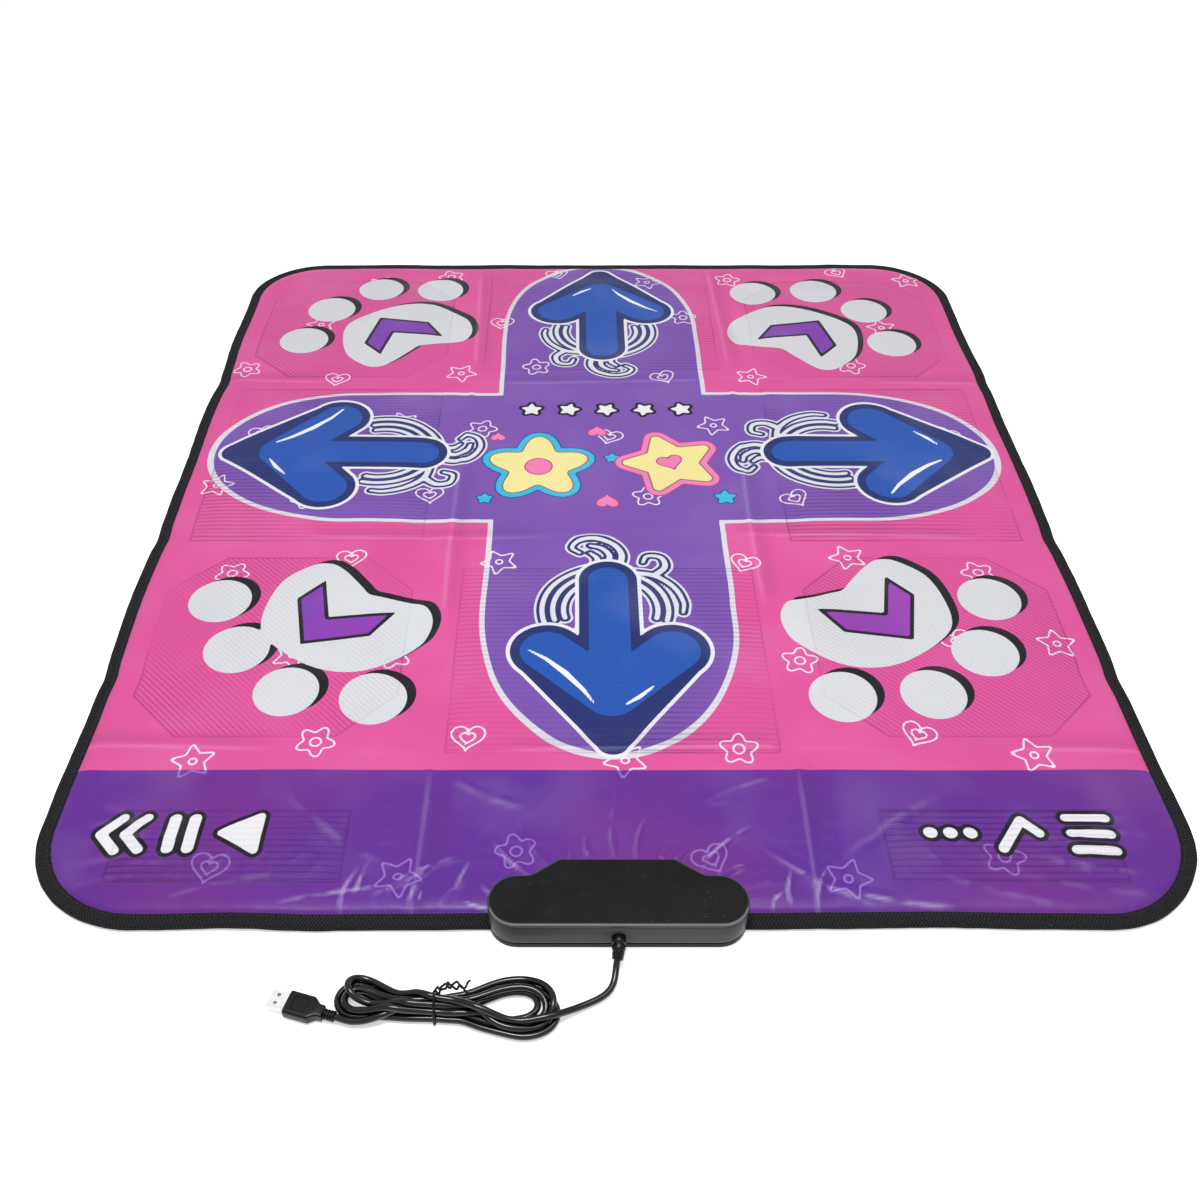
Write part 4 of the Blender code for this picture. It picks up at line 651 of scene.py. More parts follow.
def zoneDistance(p, name, grow):
    x, v, width, depth = zones[name]
    du, dv = np.abs(p[:, 0] - x) - width / 2 - grow, np.abs(p[:, 1] - v) - depth / 2 - grow
    away = np.hypot(np.maximum(du, 0), np.maximum(dv, 0)) + np.minimum(np.maximum(du, dv), 0)
    return np.maximum(away, (du + dv + mat["zoneCut"]) / sqrt(2)) if width == depth else away


def matInset(p):
    half, radius = matHalf / mm, mat["cornerRadius"] / mm
    q = np.abs(p - np.array([0, half[1]])) - half + radius
    u, v = q.T
    return radius - np.hypot(np.maximum(u, 0), np.maximum(v, 0)) - np.minimum(np.maximum(u, v), 0)


def edgeTurn(p):
    # Where each point lies round the mat, as an angle in equal steps along the edge
    half, radius = matHalf / mm, mat["cornerRadius"] / mm
    a, b = half - radius
    x, y = p[:, 0], p[:, 1] - half[1]
    dx, dy = np.abs(x) - a, np.abs(y) - b
    side = np.where((dx > 0) & (dy > 0), b + radius * np.arctan2(np.maximum(dy, 0), np.maximum(dx, 1e-6)),
                    np.where(dx > dy, np.minimum(np.abs(y), b), b + radius * pi / 2 + a - np.minimum(np.abs(x), a)))
    quarter = b + radius * pi / 2 + a
    course = np.where(x >= 0, np.where(y >= 0, side, 4 * quarter - side),
                      np.where(y >= 0, 2 * quarter - side, 2 * quarter + side))
    return course / (4 * quarter) * tau


def atBox(p, aside, ahead):
    return (np.abs(p[:, 0]) < aside) & (p[:, 1] < ahead)


def noiseArray(p, wave, seed):
    return np.array([noise.noise(Vector((x / wave, y / wave, seed))) for x, y in p])


def edgeNoise(turn, wave, seed):
    radius = (mat["width"] + mat["depth"]) * 2 / mm / tau / wave
    return np.array([noise.noise(Vector((radius * cos(a), radius * sin(a), seed))) for a in turn])


def drifted(p):
    # The edges wander a little and draw in at the folds, as cloth that was packed does
    x, v = p[:, 0], p[:, 1]
    aside = np.array([noise.noise(Vector((v[k] / 95, 3.7 if x[k] > 0 else 8.2, 0.4))) for k in range(len(p))])
    ahead = np.array([noise.noise(Vector((x[k] / 95, 5.1 if v[k] > 460 else 1.9, 2.4))) for k in range(len(p))])
    aside -= sum(0.5 * bell(v, fold, 13) for fold in (226, 400, 655)) * np.sign(x)
    return p + np.stack([3.0 * aside * smooth((np.abs(x) - 260) / 145),
                         2.2 * ahead * smooth((np.abs(v - 460) - 330) / 130) * smooth((np.abs(x) - 90) / 40)], 1)


def edgeLift(turn):
    return 1.7 * np.maximum(edgeNoise(turn, 75, 21.0) - 0.08, 0) ** 1.2 * (np.abs(turn / tau - 0.5) < 0.42)


def creases(p):
    # Folds fan out from the control box and cross the near strip; a painted highlight pales the vinyl along their
    # crests, with painted shade just beside
    # Each fold: foot, end, height, width, and the strength of its painted highlight and shade
    lines = []
    for index in range(17):
        angle = radians(-14 + index * 13)
        x, y = cos(angle), sin(angle)
        start, reach = 46 + 6 * sin(index * 2.3), 34 + 22 * sin(index * 1.7 + 1)
        foot = (1.42 * start * x, 13 + 0.78 * start * y)
        lines.append((foot, (foot[0] + reach * x, foot[1] + reach * (0.25 + y)), 1.5 + 0.6 * sin(index * 3.1), 2.3,
                      0.25 if abs(angle - pi / 2) < 0.75 else 1.0))
    for index in range(11):
        # Short ones standing on the binding, left and right of the box
        x = (-106 - 11 * index) if index < 8 else (104 + 15 * (index - 8))
        lean, tall = 9 * sin(index * 2.7) + 6, 34 + 15 * sin(index * 1.9 + 2)
        lines.append(((x, 9), (x + lean, 9 + tall), 1.2 + 0.4 * sin(index * 4.1), 2.6, 1.0))
    for side in (-1, 1):
        for k in range(5):
            angle = 0.25 + 0.3 * k
            lines.append(((side * 384 - side * 3 * k, 26 + 17 * k),
                          (side * (352 - 96 * cos(angle)), 26 + 62 * sin(angle)), 1.0 - 0.1 * k, 4.6, 0.15))
        lines += [((side * 318, 14), (side * 196, 46), 1.0, 5, 0.2),
                  ((side * 240, 13), (side * 118, 34), 1.3, 3.2, 0.8),
                  ((side * 178, 13), (side * 96, 62), 1.3, 3.0, 0.7),
                  ((side * 150, 44), (side * 252, 120), 0.8, 5, 0.2), ((side * 60, 96), (side * 130, 128), 0.8, 4, 0.3)]
    height, litAndShaded = np.zeros(len(p)), np.zeros(len(p))
    for a, b, tall, width, highlightWeight in lines:
        a, b = np.array(a, float), np.array(b, float)
        edge, away = b - a, p - a
        share = away @ edge / (edge @ edge)
        off = (away[:, 0] * edge[1] - away[:, 1] * edge[0]) / np.linalg.norm(edge) + 3 * np.sin(share * 4)
        taper = smooth(share / 0.3) * smooth((1 - share) / 0.5)
        height += tall * taper * (bell(off, 0, width) - 0.4 * bell(off, 2 * width, width))
        litAndShaded += highlightWeight * taper * (bell(off, -0.4 * width, 0.5 * width) - 0.3 * bell(off, 0.9 * width, 0.6 * width))
    return height, litAndShaded


def foldLines(p):
    # The mat was packed in three columns and four rows
    height, litAndShaded = np.zeros(len(p)), np.zeros(len(p))
    for axis, folds in ((0, (-137, 133)), (1, (152, 400, 655))):
        for fold in folds:
            off = p[:, axis] - fold - 2.5 * np.sin(p[:, 1 - axis] / 85)
            # Painted highlight on each fold's crest and painted shade in the dip beside it, stronger in some stretches
            # than others
            paintedAlong = smooth(0.5 + 1.5 * np.sin(p[:, 1 - axis] / 61 + fold))
            height += 0.9 * bell(off, 0, 3.6) - 0.35 * bell(off, 9, 6)
            litAndShaded += paintedAlong * (0.35 * bell(off, 0, 2.0) - 0.3 * bell(off, 8, 7))
    return height, litAndShaded


def coverHeight(p):
    inset, turn = matInset(p), edgeTurn(p)
    low, top = mat["edgeTop"] / mm, mat["top"] / mm
    start, end = mat["rampStart"] / mm, mat["rampEnd"] / mm
    ramp = np.clip((inset - start) / (end - start), 0, 1)
    height = low + (top - low) * np.sqrt(1 - (1 - ramp) ** 2.2)
    grown = [zoneDistance(p, name, mat["zoneGrow"]) for name in zones]
    apart, inside = np.minimum.reduce([np.abs(d) for d in grown]), np.minimum.reduce(grown)
    calm = smooth((apart - 3) / 12)
    pucker = edgeNoise(turn, 21, 3.1) + 0.6 * edgeNoise(turn, 9, 7.7)
    near = bell(np.maximum(inset, 24), 24, 22)
    height += 1.3 * np.maximum(pucker, -0.25) * near * ramp * np.where(inside > 0, calm, 0)
    rough = smooth((150 - p[:, 1]) / 60)
    ridged = 1 - np.abs(2 * noiseArray(p, 17, 5.0))
    relief = 0.9 * noiseArray(p, 120, 1.5) + 0.35 * noiseArray(p, 38, 2.5) + 0.4 * ridged * ridged * (0.2 + rough)
    relief += creases(p)[0] + foldLines(p)[0]
    height += np.maximum(relief, -0.4) * calm * smooth((inset - 18) / 18)
    dome = 1.35 * smooth((-inside - 3) / 30) + 0.4 * smooth((-inside - 8) / 40) * (1 + noiseArray(p, 60, 9.0))
    height += edgeLift(turn) * (1 - smooth((inset - 5) / 40)) * smooth((apart - 2) / 12)
    return height + np.where(inside < 0, dome, 0)


def printLayers(p):
    values, (x, y) = {}, np.abs(p - np.array([0, 527.3])).T
    ways = [np.maximum(x - 102.5, y - 240), (np.hypot(x / 102.5, np.maximum(y - 237, 0) / 143) - 1) * 104]
    ways += [np.maximum(y - 102.7, x - 236), (np.hypot(np.maximum(x - 236, 0) / 141.5, y / 102.7) - 1) * 104]
    values["field"] = np.minimum.reduce(ways) + 1.2 * noiseArray(p, 55, 4.2)
    drawMotifs(values, p)
    for arrow in arrows:
        drawArrow(values, p, *arrow)
    for paw in paws:
        drawPaw(values, p, *paw)
        drawPaw(values, p - np.array([6.8, 4.6]), *paw, name="shadow")
    drawCentre(values, p)
    drawIcons(values, p)
    # Painted highlight on the crests of the creases and folds, painted shade in the dips beside, and a faint broad
    # mottle of painted light and shade
    broken = smooth(0.6 + 1.6 * noiseArray(p, 11, 6.6))
    soft = noiseArray(p, 75, 8.1) + 0.5 * noiseArray(p, 30, 3.3)
    values["strain"] = np.clip(creases(p)[1] * broken + foldLines(p)[1], -1, 1.2) + 0.13 * soft
    for name, wanted in (("octagon", True), ("plate", False)):
        keys = [key for key, zone in zones.items() if (zone[2] == zone[3]) == wanted]
        values[name] = np.minimum.reduce([zoneDistance(p, key, 0) for key in keys])
    return values


layerSets = {"printA": ("field", "motif", "ripple"), "printB": ("navy", "blue", "shine"),
             "printC": ("paw", "shadow", "chevron"), "printD": ("icon", "yellow", "cyan"),
             "printE": ("pinkRim", "pinkPrint", "octagon"), "printF": ("plate", "strain", "plate")}
innerChevron = -3.4
# Inks in the order they are laid: layer, distance to its edge in mm, colour
inks = [("field", 4.6, "#dcdae3"), ("field", 0.0, "#7a52ac"), ("motif", 0.0, "#f0e3ef"), ("ripple", 4.7, "#dfdfe6"),
        ("ripple", 2.7, "#2b3170"), ("ripple", 0.0, "#e1e1e7"), ("navy", 3.3, "#e9e9ee"), ("navy", 0.0, "#1d2d6b"),
        ("blue", 0.0, "#2154ae"), ("shine", 0.0, "#f2f4fb"), ("shadow", 0.0, "#121013"), ("paw", 0.0, "#d8dade"),
        ("chevron", 0.0, "#17131c"), ("chevron", innerChevron, "#8d3fb4"), ("cyan", 1.4, "#284a8c"),
        ("cyan", 0.0, "#36b8e0"), ("pinkRim", 1.4, "#b23d7c"), ("pinkRim", 0.0, "#ee83b9"), ("yellow", 1.4, "#8a6a52"),
        ("yellow", 0.0, "#f3e59a"), ("pinkPrint", 1.2, "#a63d74"), ("pinkPrint", 0.0, "#ef7fb4"),
        ("icon", 3.2, "#120f16"), ("icon", 0.0, "#ecebf0")]


def meshOfCells(name, points, corners):
    used, inverse = np.unique(corners, return_inverse=True)
    return meshFrom(name, points[used], inverse.reshape(-1, 4).tolist()), used


def onMat(points, height):
    return np.column_stack([points * mm + nearMiddle, height * mm])


def makeCover(finish):
    cell = mat["cell"] / mm
    wide, deep = round(mat["width"] / mm / cell) + 1, round(mat["depth"] / mm / cell) + 1
    p = np.stack(np.meshgrid((np.arange(wide) - wide // 2) * cell, np.arange(deep) * cell), -1).reshape(-1, 2)
    height, values = coverHeight(p), printLayers(p)
    slopeV, slopeU = np.gradient(height.reshape(deep, wide), cell)
    normals = np.stack([-slopeU.ravel(), -slopeV.ravel(), np.ones(len(p))], 1)
    normals /= np.linalg.norm(normals, axis=1)[:, None]
    corners = gridFaces(wide, deep)
    centres = p[corners].mean(1)
    # Open at the sewn edge, and under the control box
    keep = (matInset(centres) > mat["coverInset"] / mm) & ~atBox(centres, 58, 26)
    owner = np.full(len(corners), -1)
    for index, name in enumerate(zones):
        owner[zoneDistance(centres, name, mat["zoneGrow"]) < 0] = index
    points, made = onMat(drifted(p), height), []
    for index, name in [(-1, "base"), *enumerate(zones)]:
        mesh, used = meshOfCells("cover_" + name, points, corners[keep & (owner == index)])
        for key, names in layerSets.items():
            data = np.stack([values[n][used] for n in names], 1).astype(np.float32)
            mesh.attributes.new(key, "FLOAT_VECTOR", "POINT").data.foreach_set("vector", data.ravel())
        piece = addObject("cover_" + name, mesh, finish, ("top_cover",), "printed_vinyl")
        mesh.normals_split_custom_set_from_vertices(normals[used].tolist())
        if index >= 0:
            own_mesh(piece)
        made.append(piece)


def zigzag(add, value):
    # Down from 0.5 to 0 and up again in each unit
    rest = add("SUBTRACT", add("FRACT", value), 0.5)
    return add("ABSOLUTE", rest)


def knit(add, coords, *waves):
    across, ahead = [add("TexWave", coords, *waves, bands_direction=axis).outputs["Fac"] for axis in "XY"]
    return add("MULTIPLY", across, ahead)


def overlay(add, share, under, ink, blend="MIX"):
    return add("Mix", share, under, ink, data_type="RGBA", blend_type=blend)


def makePrintedVinyl():
    # Soft printed vinyl: satin, with a cloth backing that shows through as a fine mottle
    finish, add, shade, coords = newMaterial("printedVinyl", "#e2559c", 0.36, Specular_IOR_Level=0.18, Coat_Weight=0.05,
                                             Coat_Roughness=0.12)
    along = add("SeparateXYZ", coords)
    layers = {}
    for key, names in layerSets.items():
        parts = add("SeparateXYZ", add("Attribute", attribute_name=key).outputs["Vector"])
        layers.update(zip(names, parts.outputs))
    edge = 0.22
    cloud = add("TexNoise", coords, 7.0, 3.0)
    patches = add("MapRange", cloud, 0.3, 0.7, 0.0, 0.4)
    pink = overlay(add, patches, "#dc5399", "#e6609f")
    strip = add("MapRange", along.outputs[1], mat["stripEdge"] + 0.0003, mat["stripEdge"] - 0.0003)
    wide = add("MapRange", add("TexNoise", coords, 4.5), 0.35, 0.65)
    purple = overlay(add, wide, "#5e2c96", "#752d8c")
    colour = overlay(add, strip, pink, purple)
    # The electrodes' hatch shows through the cover: slanting lines on the octagons, level ones on the plates
    shown = 0.0
    slant = add("ADD", along.outputs[0], along.outputs[1])
    for name, way in (("octagon", slant), ("plate", along.outputs[1])):
        lines = add("MapRange", zigzag(add, add("MULTIPLY", way, 1 / mat["hatch"])), 0.2, 0.12)
        lines = add("MULTIPLY", lines, add("MapRange", layers[name], edge, -edge))
        rim = add("MapRange", add("ABSOLUTE", layers[name]), 1.1, 0.6)
        shown = add("MAXIMUM", add("MAXIMUM", lines, rim), shown)
    depth = add("MapRange", cloud, 0.4, 0.6, 0.08, 0.36)
    faint = add("MULTIPLY", shown, depth)
    for name, limit, ink in inks:
        value = layers[name]
        if name == "motif":
            value, limit, ink = add("ABSOLUTE", value), 0.72, overlay(add, strip, ink, "#9168c0")
        if limit == innerChevron:
            ink = overlay(add, wide, "#7a3cae", "#a344b2")
        colour = overlay(add, add("MapRange", value, limit + edge, limit - edge), colour, ink)
        if name == "motif":
            colour = overlay(add, faint, colour, "#8d6f8c", "MULTIPLY")
    colour = overlay(add, add("MULTIPLY", faint, 0.4), colour, "#8d6f8c", "MULTIPLY")
    # Painted highlight in pale lilac and painted shade in deep violet, from the creases and folds
    for end, share, ink in ((1.0, 0.36, "#ece4fb"), (-0.6, 0.3, "#3a2a52")):
        colour = overlay(add, add("MapRange", layers["strain"], 0.0, end, 0.0, share), colour, ink)
    # Ink on woven backing: the threads are drawn at 1.4 mm, about three times the real pitch
    thread = add("TexNoise", add("Mapping", coords, Scale=(700, 1100, 1)), 1.0, 2.0)
    thread = add("MapRange", thread, 0.35, 0.68, 0.0, 0.13)
    colour = overlay(add, thread, colour, "#2a1c40")
    cloth = knit(add, coords, mat["weave"], 0.6, 1.0, 0.3)
    fine = add("TexNoise", coords, 90.0, 4.0, 0.6)
    height = add("MULTIPLY_ADD", fine, 6.0, cloth)
    height = add("MULTIPLY_ADD", shown, 2.0, height)
    rough = add("MapRange", add("TexNoise", coords, 14.0, 3.0), 0.3, 0.7, 0.3, 0.44)
    shade(Base_Color=colour, Roughness=rough, Normal=add("Bump", Height=height, Distance=0.00005, Strength=0.6))
    return finish


# Binding: webbing folded over the sewn edge, with a row of stitches and its overlocked rim
def outlineAt(inset, step):
    half, radius = matHalf - inset, mat["cornerRadius"] - inset
    a, b = half - radius
    lengths = [2 * a, radius * pi / 2, 2 * b, radius * pi / 2] * 2
    starts = [((-a, -half[1]), (1, 0)), ((a, -b), -90), ((half[0], -b), (0, 1)), ((a, b), 0), ((a, half[1]), (-1, 0)),
              ((-a, b), 90), ((-half[0], b), (0, -1)), ((-a, -b), 180)]
    points, outs = [], []
    count = round(sum(lengths) / step)
    for index in range(count):
        at = index * sum(lengths) / count
        for length, (origin, way) in zip(lengths, starts):
            if at <= length:
                break
            at -= length
        if isinstance(way, tuple):
            outs.append((way[1], -way[0]))
            points.append((origin[0] + way[0] * at, origin[1] + way[1] * at))
        else:
            angle = radians(way) + at / radius
            outs.append((cos(angle), sin(angle)))
            points.append((origin[0] + radius * cos(angle), origin[1] + radius * sin(angle)))
    points = drifted(np.array(points) / mm + np.array([0, mat["depth"] / 2 / mm])) * mm
    return points + nearMiddle, np.array(outs)


def edgeSway(points):
    turn = edgeTurn(np.stack([points[:, 0] / mm, (points[:, 1] - mat["nearEdge"]) / mm], 1))
    return edgeNoise(turn, 55, 12.3) * 0.9 + edgeNoise(turn, 13, 5.1) * 0.45, edgeLift(turn)


def makeBinding(finish):
    points, outs = outlineAt(0.0, binding["step"])
    order = np.flatnonzero(~atBox(points, binding["open"], mat["nearEdge"] + 0.002))
    cut = np.flatnonzero(np.diff(order) > 1)[0] + 1
    order = np.concatenate([order[cut:], order[:cut]])
    points, outs = points[order], outs[order]
    course = np.arange(len(order)) * binding["step"]
    sway, lift = edgeSway(points)
    width = binding["width"] / mm
    tooth = 0.28 * np.sin(course / binding["pitch"] * tau)
    section = [(width - 0.2, 0.0), (1.6, 0.0), (0.55, 0.5), (0.1, 1.4), (0.0, 2.35), (0.12, 3.3), (0.6, 4.2),
               (1.7, 4.72), (3.2, 4.78), (5.6, 4.7), (8.2, 4.72), (9.8, 4.6), (width - 0.35, 4.3), (width + 0.1, 3.7),
               (width, 3.1)]
    reach = np.cumsum([0] + [dist(a, b) for a, b in zip(section, section[1:])]) * mm
    rings = []
    for inset, height in section:
        upper = height > 2.5
        frayed = tooth * (max(0.0, (inset - 9) / 2) if upper else 0)
        shift = (-inset + 0.6 * sway * (1 if inset < 9 else 0.6) + frayed) * mm
        rings.append(np.column_stack([points + outs * shift[:, None],
                                      (height + lift + (0.16 * sway if upper else 0)) * mm]))
    across = len(section)
    corners = gridFaces(across, len(points), turned=True)
    uv = np.stack([course[corners // across], reach[corners % across]], -1).reshape(-1, 2).tolist()
    last = (len(points) - 1) * across
    faces = [*corners.tolist(), tuple(range(across)), tuple(reversed(range(last, last + across)))]
    uv += [(0, 0)] * (2 * across)
    mesh = meshFrom("binding_webbing", np.stack(rings, 1).reshape(-1, 3), faces)
    mesh.uv_layers.new(name="course").data.foreach_set("uv", np.array(uv, np.float32).ravel())
    piece = addObject("binding_webbing", mesh, finish, ("binding",), "black_webbing")


def repeatTree(name, unit, finish):
    # One unit on every point, turned to the point's own way and scaled to the three sizes
    tree = bpy.data.node_groups.new(name, "GeometryNodeTree")
    tree.interface.new_socket("Geometry", in_out="INPUT", socket_type="NodeSocketGeometry")
    names = ("Length", "Width", "Height")
    for size in names:
        tree.interface.new_socket(size, in_out="INPUT", socket_type="NodeSocketFloat")
    tree.interface.new_socket("Geometry", in_out="OUTPUT", socket_type="NodeSocketGeometry")
    add = partial(addNode, tree)
    entry = add("NodeGroupInput")
    sizes = add("CombineXYZ", *[entry.outputs[size] for size in names])
    source = add("GeometryNodeObjectInfo", Object=unit)
    way = add("GeometryNodeInputNamedAttribute", Name="way", data_type="FLOAT_VECTOR")
    turn = add("FunctionNodeAlignRotationToVector", Vector=way, axis="X")
    spread = add("GeometryNodeInstanceOnPoints", Points=entry.outputs[0], Instance=source.outputs["Geometry"],
                 Rotation=turn, Scale=sizes)
    real = add("GeometryNodeRealizeInstances", spread)
    paint = add("GeometryNodeSetMaterial", Geometry=real, Material=finish)
    add("NodeGroupOutput", paint)
    return tree


def repeatUnit(name, points, ways, rings, sizes, finish, slot):
    unit = bpy.data.objects.new(name + "Unit", skinRings(name + "Unit", rings))
    base = meshFrom(name + "Points", points, [])
    base.attributes.new("way", "FLOAT_VECTOR", "POINT").data.foreach_set("vector", np.asarray(ways, np.float32).ravel())
    carrier = newObject(name + "Points", base)
    modifier = carrier.modifiers.new("repeat", "NODES")
    modifier.node_group = repeatTree(name, unit, finish)
    for item in modifier.node_group.interface.items_tree:
        if item.in_out == "INPUT" and item.name in sizes:
            modifier[item.identifier] = sizes[item.name]
    return addObject(name, bakedMesh(name, carrier, unit), finish, (), slot)


def makeStitches(finish):
    turns = np.arange(6) * tau / 6
    rings = [[(share, thick / 2 * cos(a), thick / 2 * sin(a) - (1 - thick) * 0.5) for a in turns]
             for share, thick in ((-0.5, 0.35), (-0.3, 0.9), (0.0, 1.0), (0.3, 0.9), (0.5, 0.35))]
    rows = [("binding_stitches", 8.6, 0.0042, 0.0031, 4.72, 0.0),
            ("binding_overlock", 11.15, binding["pitch"], 0.0021, 3.95, 0.55)]
    for name, inset, pitch, length, height, lean in rows:
        points, outs = outlineAt(inset * mm, pitch)
        seen = ~atBox(points, 0.087, mat["nearEdge"] + 0.02)
        points, outs = points[seen], outs[seen]
        sway, lift = edgeSway(points)
        base = np.column_stack([points + outs * (0.36 * sway[:, None]) * mm, (height + lift + 0.16 * sway) * mm])
        ways = np.column_stack([-outs[:, 1] + lean * outs[:, 0], outs[:, 0] + lean * outs[:, 1], np.zeros(len(outs))])
        repeatUnit(name, base, ways, rings, dict(Length=length, Width=0.0008, Height=0.0006), finish, "black_webbing")


def makeWebbing():
    # Matt woven webbing: near black, with a herringbone whose rib crests are painted lighter as a painted highlight,
    # and fine grey flecks as painted glints
    finish, add, shade, coords = newMaterial("blackWebbing", "#0c0b0d", 0.85, Specular_IOR_Level=0.2)
    parts = add("SeparateXYZ", add("UVMap", uv_map="course"))
    # Ribs drawn at 2.4 mm, three times the real pitch, as they read in the photograph
    pitch, turn = binding["pitch"], binding["turn"]
    fold = zigzag(add, add("MULTIPLY", parts.outputs[1], 1 / turn))
    run = add("MULTIPLY", parts.outputs[0], 1 / pitch)
    ribs = zigzag(add, add("MULTIPLY_ADD", fold, turn / pitch, run))
    ribs = add("MapRange", ribs, 0.12, 0.38)
    strands = add("TexNoise", coords, 1500.0, 2.0)
    height = add("MULTIPLY_ADD", strands, 0.35, ribs)
    # Painted highlight on the rib crests and painted shade in the hollows
    tone = overlay(add, ribs, "#010102", "#2c2b2f")
    paintedGlints = add("MapRange", add("TexNoise", coords, 1000.0, 1.0), 0.66, 0.74, 0.0, 0.2)
    # Painted glints: small grey flecks
    colour = overlay(add, paintedGlints, tone, "#7f7d84")
    shade(Base_Color=colour, Normal=add("Bump", Height=height, Distance=0.0005, Strength=1.0))
    return finish


# Underside: cloth with rubber dots
def makeUnderside(cloth, rubber):
    us, vs = np.arange(-66, 67) * underside["cell"], np.arange(-1, 155) * underside["cell"]
    p = np.stack(np.meshgrid(us, vs), -1).reshape(-1, 2)
    inset, turn = matInset(p), edgeTurn(p)
    height = 0.5 + 1.3 * (1 - smooth((inset - 6) / 5)) + 0.05 * noiseArray(p, 40, 4.4)
    height = height + edgeLift(turn) * (1 - smooth((inset - 5) / 60))
    corners = gridFaces(len(us), len(vs), turned=True)
    centres = p[corners].mean(1)
    # Open under the control box, whose bottom shell closes it
    shell = (boxOutline(0) - nearMiddle) / mm
    keep = (matInset(centres) > underside["hem"]) & (polygonDistance(centres, shell) > -6)
    mesh, _ = meshOfCells("underside_cloth", onMat(drifted(p), height), corners[keep])
    piece = addObject("underside_cloth", mesh, cloth, ("base_cover",), "nonslip_base_cloth")
    pitch = underside["dotPitch"]
    spots = np.array([(-390 + c * pitch + (pitch / 2 if r % 2 else 0), 14 + r * underside["rowPitch"])
                      for r in range(74) for c in range(66)])
    spots = spots[(matInset(spots) > underside["dotHem"]) & ~atBox(spots, 90, 46)]
    turns = np.arange(8) * tau / 8
    rings = [[(s / 2 * cos(a), s / 2 * sin(a), z) for a in turns] for s, z in ((1.0, 1.0), (0.92, 0.43), (0.6, 0.06))]
    repeatUnit("underside_dots", onMat(spots, np.zeros(len(spots))), np.tile([1.0, 0, 0], (len(spots), 1)), rings,
               dict(Length=underside["dotWidth"], Width=underside["dotWidth"], Height=underside["dotHeight"]), rubber,
               "nonslip_base_cloth")


# Control box
def boxOutline(grow):
    half, end, foot, flat = [box[key] / 2 + grow for key in ("width", "endDepth", "bulgeFoot", "bulgeFlat")]
    front, shoulder, rear = boxFront - grow, boxFront + box["endDepth"] + grow, boxRear + grow
    fillet, corner = box["bulgeFillet"] - grow, box["bulgeCorner"] + grow
    return np.array(roundedOutline([(-half, front, end), (half, front, end), (half, shoulder, end),
                                    (foot, shoulder, fillet), (flat, rear, corner), (-flat, rear, corner),
                                    (-foot, shoulder, fillet), (-half, shoulder, end)], 12))


def makeBoxTop(finish):
    # Wall, the groove round it near the top, the small edge radius and the flat top; it steps up over the mat
    lift = box["height"] / mm - box["seam"]
    edge, groove = box["edgeRadius"], box["groove"]
    # Each step: how far out, how high, and how strong the painted highlight and gloss on its edge are
    profile = [(-1.9, 0.0, 0), (-0.9, 0.0, 0), (-0.85, 0.5, 0), (-0.15, 0.65, 0.3), (0.0, 0.95, 0.7), (0.0, 1.5, 0.36)]
    profile += [(grow, lift - groove + up, edgeShine) for grow, up, edgeShine in
                ((0.0, -0.5, 0.3), (-0.1, -0.4, 0), (-0.45, -0.3, 0), (-0.45, 0, 0), (-0.1, 0.1, 0.4),
                 (-0.05, 0.3, 0.5))]
    profile.append((-0.05, lift - edge, 0.2))
    profile += [(-0.05 - edge * (1 - cos(a)), lift - edge + edge * sin(a), edgeShine)
                for a, edgeShine in zip(np.radians([18, 36, 54, 72, 90]), (0.35, 0.8, 1.0, 0.5, 0.1))]
    profile += [(grow, lift + up, 0) for grow, up in ((-2.2, 0.01), (-3.2, 0.02), (-6, 0.03), (-12, 0.03))]
    base = boxOutline(0)
    seat = (base[:, 1] - mat["nearEdge"]) / mm
    seat = np.where(seat > 0.5, box["onMat"], np.where(seat > -1.0, box["onEdge"], box["seam"]))
    # Further in than this, the outline is scaled and no longer offset
    rings, inmost = [], 5.4
    for grow, rise, _ in profile:
        ring = boxOutline(max(grow, -inmost) * mm)
        if grow < -inmost:
            centre = np.array([0, (boxFront + boxRear) / 2])
            ring = centre + (ring - centre) * (1 - (-grow - inmost) / np.array([85, 26]))
        rings.append(np.column_stack([ring,
                                      ((seat if rise <= 0.95 else box["seam"]) + rise) * mm * np.ones(len(ring))]))
    count = len(base)
    faces = [(r * count + k, r * count + (k + 1) % count, (r + 1) * count + (k + 1) % count, (r + 1) * count + k)
             for r in range(len(rings) - 1) for k in range(count)]
    faces.append(tuple((len(rings) - 1) * count + k for k in range(count)))
    mesh = meshFrom("box_top", np.concatenate(rings), faces)
    front = np.where(seat > 6, 0.3, 1.0)
    # Painted highlight and gloss along the edge rings, weaker where the box sits on the mat
    edgeGlossLight = np.concatenate([edgeShine * front for *_, edgeShine in profile]).astype(np.float32)
    mesh.attributes.new("polish", "FLOAT", "POINT").data.foreach_set("value", edgeGlossLight)
    addObject("box_top", mesh, finish, ("box_upper_shell",), "black_abs", sharp=50)


